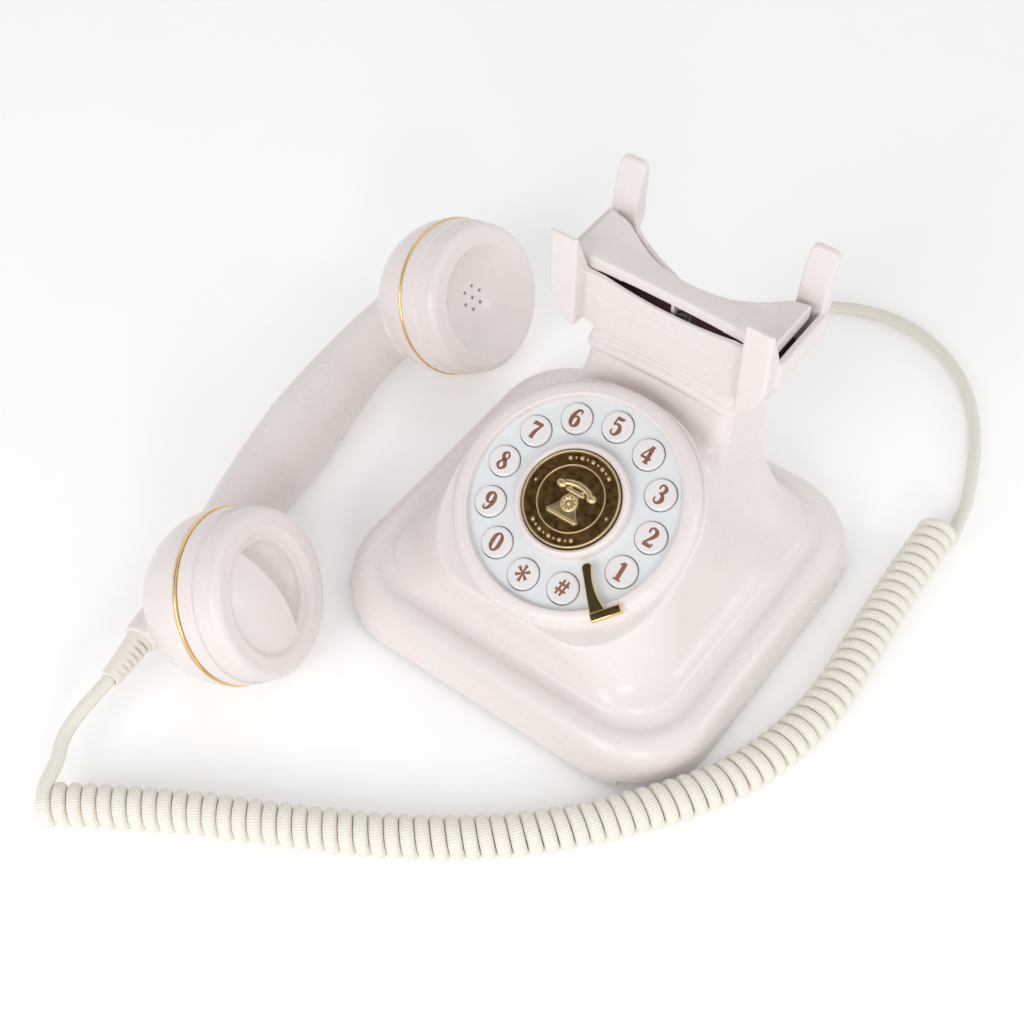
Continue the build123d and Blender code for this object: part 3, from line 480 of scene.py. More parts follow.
# ---------------------------------------------------------------- cord
CORD_DIAMETER = 4.8
COIL_PITCH = 4.9
COIL_RADIUS = 5.05
STEPS_PER_TURN = 26
LEAD_STEP = 1.5
LEAD_TRIM = 4           # points given up at the end of the first lead, to round into the coil
LAST_LEAD_START = 99.0  # how far back the base lead is before it leaves the coil's end
HANDSET_LEAD = (
    (-100.3, -158.0, 16.0),
    (-99.4, -168.5, 13.8),
    (-95.5, -175.5, 12.8),
    (-91.5, -180.0, 12.8),
)
COIL_ROUTE = (
    (-88.5, -188.8, 7.6),
    (-57.0, -167.4, 7.6),
    (-22.0, -149.0, 7.6),
    (12.0, -129.5, 7.6),
    (43.0, -106.0, 7.6),
    (68.0, -77.0, 7.6),
    (88.5, -45.5, 7.6),
    (97.0, -9.0, 7.6),
    (94.6, 27.0, 7.6),
    (92.6, 58.0, 7.6),
    (92.2, 84.5, 7.6),
)
BASE_LEAD = (
    (94.6, 82.0, 4.4),
    (96.8, 98.0, 2.6),
    (89.4, 121.0, 2.5),
    (79.2, 144.5, 2.5),
    (63.0, 165.0, 2.5),
    (40.0, 177.6, 2.5),
    (15.0, 177.4, 2.5),
    (-7.5, 163.5, 2.5),
    (-20.5, 141.5, 2.5),
    (-25.6, 118.0, 2.6),
    (-24.8, 101.0, 5.4),
    (-25.0, 86.0, 9.0),
)


def route_line(points):
    """Points along the quadratic spline through a route, in millimetres."""
    data = bpy.data.curves.new("route", "CURVE")
    data.dimensions = "3D"
    spline = data.splines.new("NURBS")
    spline.points.add(len(points) - 1)
    for spot, point in zip(spline.points, points):
        spot.co = (*point, 1.0)
    spline.order_u = 3
    spline.use_endpoint_u = True
    data.resolution_u = 24
    holder = add_object("route", data)
    drawn = bpy.data.meshes.new_from_object(
        holder.evaluated_get(bpy.context.evaluated_depsgraph_get())
    )
    line = np.array([vertex.co[:] for vertex in drawn.vertices])
    bpy.data.meshes.remove(drawn)
    bpy.data.objects.remove(holder)
    bpy.data.curves.remove(data)
    return line


def resample(line, step):
    """The same line with evenly spaced points."""
    run = distance_along(line)
    at = np.linspace(0, run[-1], max(2, int(round(run[-1] / step)) + 1))
    return np.stack([np.interp(at, run, line[:, axis]) for axis in range(3)], 1)


def bridge(start, start_way, end, end_way, steps):
    """Smooth curve between two points that leaves and arrives in the given directions."""
    reach = np.linalg.norm(end - start)
    found = []
    for s in np.linspace(0, 1, steps + 2)[1:-1]:
        found.append(
            (1 + 2 * s) * (1 - s) ** 2 * start + s * s * (3 - 2 * s) * end
            + reach * (s * (1 - s) ** 2 * start_way + s * s * (s - 1) * end_way)
        )
    return np.array(found)


def unit(v):
    """Vector of length one."""
    return v / np.linalg.norm(v)


def coil_line():
    """Centre line of the curly part, turn by turn round its route."""
    axis = resample(route_line(COIL_ROUTE), 0.5)
    run = distance_along(axis)
    turns = math.floor(run[-1] / COIL_PITCH - 0.25) + 0.25
    count = int(turns * STEPS_PER_TURN) + 1
    along = np.linspace(0, run[-1], count)
    centre = np.stack([np.interp(along, run, axis[:, k]) for k in range(3)], 1)
    up = np.array([0.0, 0.0, 1.0])
    right = np.cross(directions(centre), up)
    right /= np.linalg.norm(right, axis=1)[:, None]
    turn = (2 * math.pi * turns * along / run[-1])[:, None]
    return centre + COIL_RADIUS * (np.cos(turn) * up + np.sin(turn) * right)


def cord_line():
    """Whole centre line of the cord: lead, coil and lead, in millimetres."""
    start = HANDSET @ Vector((BOSS_END + 3.0, 0, RELIEF_LEVEL))
    leave = HANDSET @ Vector((RELIEF_END - 1.0, 0, RELIEF_LEVEL))
    lead = [tuple(start), tuple(leave), *HANDSET_LEAD]
    first = resample(route_line(lead), LEAD_STEP)[:-LEAD_TRIM]
    coil = coil_line()
    last = resample(route_line(BASE_LEAD), LEAD_STEP)
    last = last[last[:, 1] > LAST_LEAD_START]
    coil_start, coil_end = unit(coil[1] - coil[0]), unit(coil[-1] - coil[-2])
    onto = bridge(first[-1], unit(first[-1] - first[-2]), coil[0], coil_start, 5)
    off = bridge(coil[-1], coil_end, last[0], unit(last[1] - last[0]), 9)
    parts = [first, onto, coil, off, last]
    end = np.array([BASE_LEAD[-1]])
    if np.linalg.norm(last[-1] - end[0]) > 1e-3:
        parts.append(end)
    return np.concatenate(parts)


def tube_mesh(name, line, diameter, sides, material):
    """Round tube along a line; its V goes once round it, and its U as far in each girth."""
    way = directions(line)
    side = np.zeros_like(line)
    side[0] = unit(np.cross(way[0], (0.0, 0.0, 1.0)))
    for i in range(1, len(line)):
        side[i] = unit(side[i - 1] - way[i] * side[i - 1].dot(way[i]))
    other = np.cross(way, side)
    turn = (2 * math.pi * np.arange(sides) / sides)[None, :, None]
    ring = np.cos(turn) * side[:, None] + np.sin(turn) * other[:, None]
    points = (line[:, None] + ring * diameter / 2).reshape(-1, 3)
    made = add_mesh(name, points, grid_faces(len(line), sides), material)
    run = distance_along(line) / (math.pi * diameter)
    layer = made.data.uv_layers.new(name="along")
    values = []
    for i in range(len(line) - 1):
        for j in range(sides):
            a, b = j / sides, (j + 1) / sides
            values += [run[i], a, run[i], b, run[i + 1], b, run[i + 1], a]
    layer.data.foreach_set("uv", values)
    shape = bmesh.new()
    shape.from_mesh(made.data)
    bmesh.ops.holes_fill(shape, edges=[edge for edge in shape.edges if edge.is_boundary])
    shape.to_mesh(made.data)
    shape.free()
    return made


BRAID_STRANDS = 11


def braid(name, colour, shade):
    """Cotton braid: two families of strands crossing on the slant; the colour is darker in the low
    parts of the weave, painted shade between the strands, where the same height drives the bump.
    """
    made, tree, shader = new_material(name, colour, 0.85)
    place = add_node(tree, "UVMap", uv_map="along")
    split = add_node(tree, "SeparateXYZ", {"Vector": place.outputs["UV"]})
    waves = []
    for slant in (1.0, -1.0):
        total = add_node(tree, "Math", {
            0: split.outputs["X"], 1: slant, 2: split.outputs["Y"],
        }, operation="MULTIPLY_ADD")
        turns = add_node(tree, "Math", {
            0: total.outputs[0], 1: 2 * math.pi * BRAID_STRANDS,
        }, operation="MULTIPLY")
        waves.append(add_node(tree, "Math", {0: turns.outputs[0]}, operation="SINE").outputs[0])
    weave = add_node(tree, "Math", {0: waves[0], 1: waves[1]}, operation="MULTIPLY")
    level = add_range(tree, weave.outputs[0], 0.0, 1.0, -1.0, 1.0)
    # painted shade: the low parts of the weave take the darker colour
    tree.links.new(add_mix(tree, level, shade, colour), shader.inputs["Base Color"])
    add_bump(tree, shader, level, 1.0, 0.25)
    shader.inputs["Sheen Weight"].default_value = 0.15
    return made


# the second colour is the painted shade in the hollows of the weave
CORD_BRAID = braid("cord_braid", (1.0, 0.965, 0.88), (0.84, 0.79, 0.69))


def add_cord():
    """Curly cord from the handset's strain relief to the plug in the base."""
    line = cord_line()
    cord = tube_mesh("curly_cord_braid", line, CORD_DIAMETER, 14, CORD_BRAID)
    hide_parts("cord_handset_lead", "curly_cord", "cord_base_lead")
    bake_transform(cord)


SPRING_RADIUS = 3.0
SPRING_WIRE = 0.8
SPRING_TURNS = 6


def add_saddle_spring():
    """Compression spring under the saddle, as a fixed coil."""
    low, high = (np.array(corner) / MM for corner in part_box("saddle_spring"))
    share = np.linspace(0, 1, SPRING_TURNS * 32)
    turn = 2 * math.pi * SPRING_TURNS * share
    level = low[2] + SPRING_WIRE / 2 + share * (high[2] - low[2] - SPRING_WIRE)
    middle = (low + high) / 2
    across, back = SPRING_RADIUS * np.cos(turn), SPRING_RADIUS * np.sin(turn)
    line = np.stack([middle[0] + across, middle[1] + back, level], 1)
    spring = tube_mesh("saddle_spring_coil", line, SPRING_WIRE, 10, STEEL)
    settle(spring, "phone", "steel", "saddle_spring")
    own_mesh(spring)


add_cord()
add_saddle_spring()


# ---------------------------------------------------------------- cutting
def add_block(low, high, material):
    """Box between two corners in millimetres, as a loose mesh object."""
    shape = bmesh.new()
    size = Vector(high) - Vector(low)
    centre = (Vector(high) + Vector(low)) / 2
    place = Matrix.Translation(centre) @ Matrix.Diagonal((*size, 1))
    bmesh.ops.create_cube(shape, size=1.0, matrix=place)
    return from_shape("block", shape, material)


def from_shape(name, shape, material):
    """Mesh object from a bmesh drawn in millimetres."""
    bmesh.ops.scale(shape, vec=(MM, MM, MM), verts=shape.verts)
    data = bpy.data.meshes.new(name)
    shape.to_mesh(data)
    shape.free()
    data.materials.append(material)
    return add_object(name, data)


def add_post(radius, low, high, place, material, sides):
    """Cylinder on a matrix's Z axis between two levels."""
    shape = bmesh.new()
    bmesh.ops.create_cone(
        shape, cap_ends=True, segments=sides, radius1=radius, radius2=radius, depth=high - low,
        matrix=place @ Matrix.Translation((0, 0, (low + high) / 2)),
    )
    return from_shape("post", shape, material)


def combine(target, tools, way="DIFFERENCE"):
    """Boolean of a mesh object with others, which are then removed."""
    for tool in tools:
        change = target.modifiers.new("cut", "BOOLEAN")
        change.operation = way
        change.solver = "EXACT"
        change.object = tool
    done = target.evaluated_get(bpy.context.evaluated_depsgraph_get())
    data = bpy.data.meshes.new_from_object(done)
    target.modifiers.clear()
    target.data = data
    for tool in tools:
        bpy.data.objects.remove(tool)


def read_out(rows, name, width, kind=float):
    """One property of all the rows of a mesh, as an array."""
    values = np.empty(len(rows) * width, kind)
    rows.foreach_get(name, values)
    return values.reshape(-1, width) if width > 1 else values


TURNED_AWAY = math.cos(math.radians(32))


def shade_from(made, field, from_world=Matrix()):
    """Corner normals from a field's slope, except where a face plainly turns away from it."""
    data = made.data
    turn = np.array(from_world.to_3x3())
    points = read_out(data.vertices, "co", 3) / MM @ turn.T + np.array(from_world.translation)
    slope = gradient(field, points) @ turn
    slope /= np.maximum(np.linalg.norm(slope, axis=1), 1e-9)[:, None]
    flat = read_out(data.polygons, "normal", 3)
    sizes = read_out(data.polygons, "loop_total", 1, int)
    corner_face = np.repeat(np.arange(len(sizes)), sizes)
    corner_vertex = read_out(data.loops, "vertex_index", 1, int)
    wanted = slope[corner_vertex]
    own = flat[corner_face]
    turned = (wanted * own).sum(1) < TURNED_AWAY
    wanted[turned] = own[turned]
    data.shade_smooth()
    data.normals_split_custom_set(wanted.tolist())


# ---------------------------------------------------------------- housing
BASE_HALF_X = 73.5
BASE_HALF_Y = 72.5
BASE_CORNER = 30.0
FOOT_HEIGHT = 2.0
SHOULDER_TOP = 20.5
SKIRT_TAPER = 1.6
TROUGH_INSET = 5.0
TROUGH_DEPTH = 0.8
SHOULDER_ROUND = 8.5
RIDGE_INSET = 16.0
DIAL_SEAT = 41.5
SOFT_JOIN = 7.0
PLATEAU_TOP = 22.0
BASE_TOP = FOOT_HEIGHT + 2.6

POD_HALF = curve_through((20.5, 56.5), (30, 51.5), (40, 47.6), (52, 44.8), (64, 43.4), (86, 43.0))
POD_FRONT = curve_through((20.5, -55.4), (32, -55.8), (46, -56.4), (62, -56.8), (86, -57.0))
POD_BACK = curve_through((20.5, 40.0), (32, 32.0), (46, 26.0), (62, 22.0), (86, 19.0))
POD_CORNER = curve_through((20.5, 17.0), (30, 25.0), (40, 31.5), (52, 35.5), (64, 37.0), (86, 37.6))
NECK_HALF = curve_through((20.5, 55), (30, 46), (42, 37.5), (58, 31.8), (70, 29.6), (78, 28.8))
NECK_FRONT = curve_through((20.5, -20), (30, -8), (42, 4), (58, 16), (70, 25), (78, 28.8))
NECK_BACK = curve_through((20.5, 55.4), (30, 56), (42, 56.6), (58, 57.2), (70, 57.8), (78, 58))
NECK_CORNER = curve_through((20.5, 15), (30, 17), (42, 16), (58, 10), (70, 7), (78, 5))


def dial_height(x, y, z):
    """Height above the dial's plane."""
    return math.cos(DIAL_TILT) * (z - DIAL_Z) - math.sin(DIAL_TILT) * (y - DIAL_Y)


def housing_field(x, y, z):
    """Outside of the base housing: skirt, shoulder, trough, plateau, dial pod and neck root."""
    lean = SKIRT_TAPER * (z - FOOT_HEIGHT) / (SHOULDER_TOP - FOOT_HEIGHT)
    rim = round_rect(x, y, BASE_HALF_X - lean, BASE_HALF_Y - lean, BASE_CORNER)
    across = np.clip((-rim - TROUGH_INSET) / (RIDGE_INSET - TROUGH_INSET), 0, 1)
    shoulder = SHOULDER_TOP - TROUGH_DEPTH * np.sin(math.pi * across) ** 2
    skirt = blend_max(rim, z - shoulder, SHOULDER_ROUND)
    inner = round_rect(
        x, y, BASE_HALF_X - RIDGE_INSET, BASE_HALF_Y - RIDGE_INSET, BASE_CORNER - RIDGE_INSET + 4.0
    )
    base = blend_min(skirt, blend_max(inner, z - PLATEAU_TOP, 0.9), 1.2)
    front, back = POD_FRONT(z), POD_BACK(z)
    pod = round_rect(x, y - (front + back) / 2, POD_HALF(z), (back - front) / 2, POD_CORNER(z))
    pod = blend_max(pod, dial_height(x, y, z) - DIAL_FACE, 1.2)
    front, back = NECK_FRONT(z), NECK_BACK(z)
    neck = round_rect(x, y - (front + back) / 2, NECK_HALF(z), (back - front) / 2, NECK_CORNER(z))
    neck = blend_max(neck, z - 78.0, 0.4)
    hump = blend_min(pod, neck, SOFT_JOIN)
    up_dial = math.cos(DIAL_TILT) * (y - DIAL_Y) + math.sin(DIAL_TILT) * (z - DIAL_Z)
    over_dial = np.maximum(np.hypot(x, up_dial) - DIAL_SEAT, DIAL_FACE - dial_height(x, y, z))
    hump = np.maximum(hump, -over_dial)
    whole = blend_min(base, hump, SOFT_JOIN)
    return np.maximum(whole, FOOT_HEIGHT - z)


# ---------------------------------------------------------------- cradle
YOKE_HALF = 28.5
RAIL_HALF = 43.0
RAIL_TOP = 110.5
CRADLE_FRONT = 29.5
CRADLE_BACK = 61.0
NECK_DEPTH = 58.0
HEAD_LOW = 87.0
HEAD_CORNER = 16.0
WALL = 2.6
PRONG_INNER = 31.4
PRONG_OUTER = 41.3
WING_FACE = 23.3
WING_TOP = 127.5
HORN_TOP = 132.0
HORN_FOOT = 58.4


def head_outline(x, z, inset):
    """Distance to the head's outline seen from the front, open at the top."""
    reach = 40.0
    return round_rect(
        x, z - HEAD_LOW - reach, RAIL_HALF - inset, reach - inset, HEAD_CORNER - inset
    )


def wing_field(x, y, z):
    """Two flat tabs at the front of the cradle, thinning to their tops."""
    wide = np.abs(x)
    slope = 0.929 * (y - 31.5) + 0.371 * (z - RAIL_TOP)
    tab = blend_max(head_outline(x, z, 1.2), PRONG_INNER - wide, 1.2)
    tab = blend_max(tab, WING_FACE - y, 1.2)
    tab = np.maximum(tab, slope)
    return blend_max(np.maximum(tab, y - 31.5), z - WING_TOP, 0.5)


def horn_field(x, y, z):
    """Two tall curved prongs at the back of the cradle."""
    middle = (PRONG_INNER + PRONG_OUTER) / 2
    half = (PRONG_OUTER - PRONG_INNER) / 2
    lean = np.clip((z - 113.0) / 19.0, 0, 1.2)
    front = HORN_FOOT + 5.0 * lean ** 1.7
    drop = np.clip((112.0 - z) / 7.5, 0, 1)
    back = HORN_FOOT + 6.8 * np.sqrt(1 - drop ** 2) + 0.6 * np.clip((z - 112.0) / 20, 0, 1)
    outline = round_rect(np.abs(x) - middle, z - HORN_TOP + 14.0, half, 14.0, 2.6)
    outline = np.maximum(outline, 104.5 - z)
    return blend_max(blend_max(outline, front - y, 0.8), y - back, 0.9)


def bead_field(x, y, z):
    """Double bead round the top of the neck, arched at the front."""
    plan = round_rect(x, y - (CRADLE_FRONT + NECK_DEPTH) / 2, YOKE_HALF, 14.25, 4.0)
    middle = 81.6 - 2.6 * (x / YOKE_HALF) ** 2
    low = np.hypot(plan + 0.2, z - middle) - 2.3
    high = np.hypot(plan + 0.1, z - middle - 3.2) - 1.2
    return blend_min(low, high, 0.5)


def yoke_field(x, y, z):
    """Cradle moulding: neck, bead, flared head with side rails, and four prongs."""
    taper = np.clip((z - 86.0) / 10.0, 0, 1)
    depth = NECK_DEPTH + (CRADLE_BACK - NECK_DEPTH) * taper
    bow = 0.8 * np.clip(1 - (x / PRONG_INNER) ** 2, 0, 1) * np.clip((z - 84) / 12, 0, 1)
    front = CRADLE_FRONT + bow
    neck = round_rect(x, y - (front + NECK_DEPTH) / 2, YOKE_HALF, (NECK_DEPTH - front) / 2, 3.0)
    neck = np.maximum(neck, z - 100.0)
    head = blend_max(head_outline(x, z, 0), front - y, 1.5)
    head = blend_max(head, y - depth, 1.5)
    solid = blend_min(neck, head, 1.2)
    solid = blend_max(solid, z - RAIL_TOP, 0.7)
    cavity = np.maximum(head_outline(x, z, WALL), CRADLE_FRONT + WALL - y)
    cavity = np.maximum(np.maximum(cavity, y - CRADLE_BACK + WALL), 94.0 - z)
    solid = blend_max(solid, -cavity, 0.6)
    dip = 2.3 * np.clip(1 - (x / 25.0) ** 2, 0, 1)
    window = np.maximum(np.abs(x) - PRONG_INNER, y - CRADLE_FRONT - WALL - 0.4)
    solid = blend_max(solid, -np.maximum(window, RAIL_TOP - 0.4 - dip - z), 0.6)
    rear = np.maximum(np.hypot(x, z - 131.2) - 39.0, np.abs(x) - PRONG_INNER)
    solid = blend_max(solid, -np.maximum(rear, 50.0 - y), 0.8)
    solid = blend_min(solid, wing_field(x, y, z), 0.8)
    solid = blend_min(solid, horn_field(x, y, z), 1.5)
    solid = blend_min(solid, bead_field(x, y, z), 0.6)
    return np.maximum(solid, 78.1 - z)


SADDLE_HALF = 38.6
SADDLE_TOP = 115.5
SADDLE_FRONT = 32.4
SADDLE_BACK = 57.0
SADDLE_SKIRT = 109.5
REAR_ARC = 49.2
REAR_ARC_Y = 94.7
APRON_LOW = 99.5


def saddle_height(x, y):
    """Height of the saddle's hollowed top."""
    back = np.clip((y - 33.5) / 13.0, 0, 1)
    fall = 1.5 + 3.2 * back ** 1.5
    return SADDLE_TOP - 0.2 - fall * np.clip(1 - (x / SADDLE_HALF) ** 2, 0, 1)


def saddle_field(x, y, z):
    """Sprung plate under the handset: hollow top, lip, skirts, notches and rear apron."""
    front = SADDLE_FRONT + 1.3 * np.clip(1 - (x / PRONG_INNER) ** 2, 0, 1)
    wide = np.abs(x)
    plan = blend_max(wide - SADDLE_HALF, front - y, 0.8)
    plan = blend_max(plan, y - SADDLE_BACK, 0.8)
    notch = np.maximum(PRONG_INNER - 0.4 - wide, SADDLE_BACK - 1.6 - y)
    plan = blend_max(plan, -notch, 0.5)
    ring = REAR_ARC - np.hypot(x, y - REAR_ARC_Y)
    plan = np.maximum(plan, ring)
    top = z - saddle_height(x, y)
    plate = blend_max(plan, top, 0.9)
    plate = blend_max(plate, ring, 3.0)
    inside = np.maximum(wide - SADDLE_HALF + 2.0, front + 2.0 - y)
    inside = np.maximum(np.maximum(inside, y - 55.0), ring + 2.0)
    inside = np.maximum(inside, top + 2.4)
    plate = np.maximum(np.maximum(plate, SADDLE_SKIRT - z), -inside)
    apron = np.maximum(np.maximum(blend_max(ring, top, 3.0), -ring - 2.0), wide - 28.0)
    apron = blend_max(np.maximum(apron, y - SADDLE_BACK + 2.0), APRON_LOW - z, 0.6)
    rib = np.maximum(np.maximum(wide - 0.8, front + 0.1 - y), y - front - 2.5)
    rib = np.maximum(np.maximum(rib, 104.5 - z), z - 112.0)
    return np.minimum(np.minimum(plate, apron), rib)


# ---------------------------------------------------------------- handset
HANDLE_LEVEL = curve_through((0, -28), (22, -28), (42, -27.2), (60, -23.5), (78, -17), (96, -9))
HANDLE_HALF = curve_through((0, 17.0), (22, 15.6), (42, 14.0), (60, 13.4), (78, 13.0), (96, 13.0))
HANDLE_THICK = curve_through((0, 9.5), (22, 9.5), (42, 9.5), (60, 10.0), (78, 10.5), (96, 10.5))
HANDSET_SPLIT = -31.0


def cup_coordinates(x, y, z, side):
    """Handset coordinates turned into a cup's own."""
    shifted = x - side * CUP_SPACING
    lean = side * CUP_TILT
    cos, sin = math.cos(lean), math.sin(lean)
    return cos * shifted + sin * z, y, cos * z - sin * shifted


def handset_field(x, y, z):
    """Handle and two domed cups blended together, with the boss for the cord."""
    along = np.abs(x)
    thick, wide = HANDLE_THICK(along), HANDLE_HALF(along)
    handle = (np.hypot(y / wide, (z - HANDLE_LEVEL(along)) / thick) - 1) * np.minimum(thick, wide)
    handle = np.maximum(handle, along - 90.0)
    whole = handle
    for side in (1, -1):
        cx, cy, cz = cup_coordinates(x, y, z, side)
        dome = np.sqrt(cx ** 2 + cy ** 2 + np.minimum(cz, 0) ** 2) - CUP_RADIUS
        whole = blend_min(whole, dome, 1.6)
    boss = np.hypot(y, z - RELIEF_LEVEL) - 6.3
    boss = blend_max(boss, BOSS_END - x, 1.0)
    whole = blend_min(whole, np.maximum(boss, x + 70.0), 3.0)
    for side in (1, -1):
        cx, cy, cz = cup_coordinates(x, y, z, side)
        whole = np.maximum(whole, np.where(side * x > 40.0, cz, -99.0))
    return whole


CAP_FACE = 16.6
HOOD_EDGE = 2.0
HOOD_RADIUS = 70.0
HOOD_RISE = 1.4


def mouth_cap_field(x, y, z):
    """Stepped cap with a two-step dish and a domed hood over half of it."""
    r = np.hypot(x, y)
    low = blend_max(r - 30.4, np.abs(z - 4.4) - 3.1, 0.6)
    high = blend_max(r - 29.3, z - CAP_FACE, 3.2)
    cap = np.maximum(blend_min(low, high, 0.5), 1.35 - z)
    bevel = r - 21.6 + np.clip(CAP_FACE - z, 0, 3) * 0.9
    cap = blend_max(cap, -np.maximum(bevel, CAP_FACE - 2.0 - z), 0.9)
    bowl = np.sqrt(x ** 2 + y ** 2 + (np.minimum(z - CAP_FACE + 1.4, 0) * 2.0) ** 2) - 18.0
    cap = blend_max(cap, -np.maximum(bowl, CAP_FACE - 8.6 - z), 1.2)
    ball = np.sqrt(x ** 2 + y ** 2 + (z - CAP_FACE - HOOD_RISE + HOOD_RADIUS) ** 2) - HOOD_RADIUS
    lip = x - HOOD_EDGE + 0.0045 * y ** 2
    hood = blend_max(np.maximum(ball, r - 23.0), lip, 0.8)
    hood = np.maximum(hood, 4.0 - z)
    return blend_min(cap, hood, 0.8)


def add_bodies():
    """The large mouldings, as smooth skins in place of the CAD ones."""
    step = 0.95
    low, high = (-76, -75, 0), (76, 75, 80)
    housing = add_skin("base_housing_shell", housing_field, low, high, step, SHELL)
    tools = [
        add_block((-70.9, -69.9, 0), (70.9, 69.9, BASE_TOP + 0.1), SHELL),
        add_post(35.8, -14.0, 10.0, DIAL, SHELL, 96),
    ]
    for x in (-25.0, 25.0):     # the two jacks
        tools.append(add_block((x - 6.2, 57.0, BASE_TOP), (x + 6.2, 80.0, BASE_TOP + 9.4), SHELL))
    for x in (-5.0, 8.0):       # the two slide switches
        tools.append(add_block((x - 3.8, 61.0, 8.4), (x + 3.8, 80.0, 11.6), SHELL))
    combine(housing, tools)
    shade_from(housing, housing_field)
    settle(housing, "phone", "shell", "base_housing")

    fine = 0.55
    low, high = (-45, 22, 77.5), (45, 68, 134)
    yoke = add_skin("cradle_yoke_shell", yoke_field, low, high, fine, SHELL)
    settle(yoke, "phone", "shell", "cradle_yoke")
    low, high = (-39, 31, 98), (39, 58.5, 117)
    saddle = add_skin("cradle_saddle_plate", saddle_field, low, high, fine, SHELL)
    settle(saddle, "saddle", "shell", "cradle_saddle")

    # Painted shade: a dark maroon sheet on the cavity's floor, darkening the gap between the saddle
    # and the front panel.
    gap_shade_sheet = add_block((-39.5, 32.3, 93.4), (39.5, 58.3, 94.6), GAP_SHADE_SHEET)
    gap_shade_sheet.name = "cradle_gap_shade_sheet"
    settle(gap_shade_sheet, "phone", "rubber")

    low, high = (-114, -33, -41), (114, 33, 8)
    shell = add_skin("handset_shell", handset_field, low, high, step * 0.9, SHELL, HANDSET)
    slab = add_block((-76, -40, -70), (76, 40, HANDSET_SPLIT), SHELL)
    slab.data.transform(scaled(HANDSET))
    cover = add_object("handset_rear_cover", shell.data.copy())
    under = add_block((-75.9, -40, -70), (75.9, 40, HANDSET_SPLIT - 0.12), SHELL)
    under.data.transform(scaled(HANDSET))
    combine(shell, [slab])
    combine(cover, [under], "INTERSECT")
    for piece, node in ((shell, "handset_body"), (cover, "handle_rear_cover")):
        shade_from(piece, handset_field, HANDSET.inverted())
        settle(piece, "handset", "shell", node)
    low, high, place = (-32, -32, 0.5), (32, 32, 18.5), cup_matrix(-1)
    cap = add_skin("mouth_cap_shell", mouth_cap_field, low, high, fine * 0.75, SHELL, place)
    settle(cap, "handset", "shell", "mouth_cap")


def scaled(place):
    """The same placement for a mesh that is already in metres."""
    moved = place.copy()
    moved.translation *= MM
    return moved


add_bodies()


# ---------------------------------------------------------------- dial details
KEY_NAMES = ("1", "2", "3", "4", "5", "6", "7", "8", "9", "0", "star", "hash")

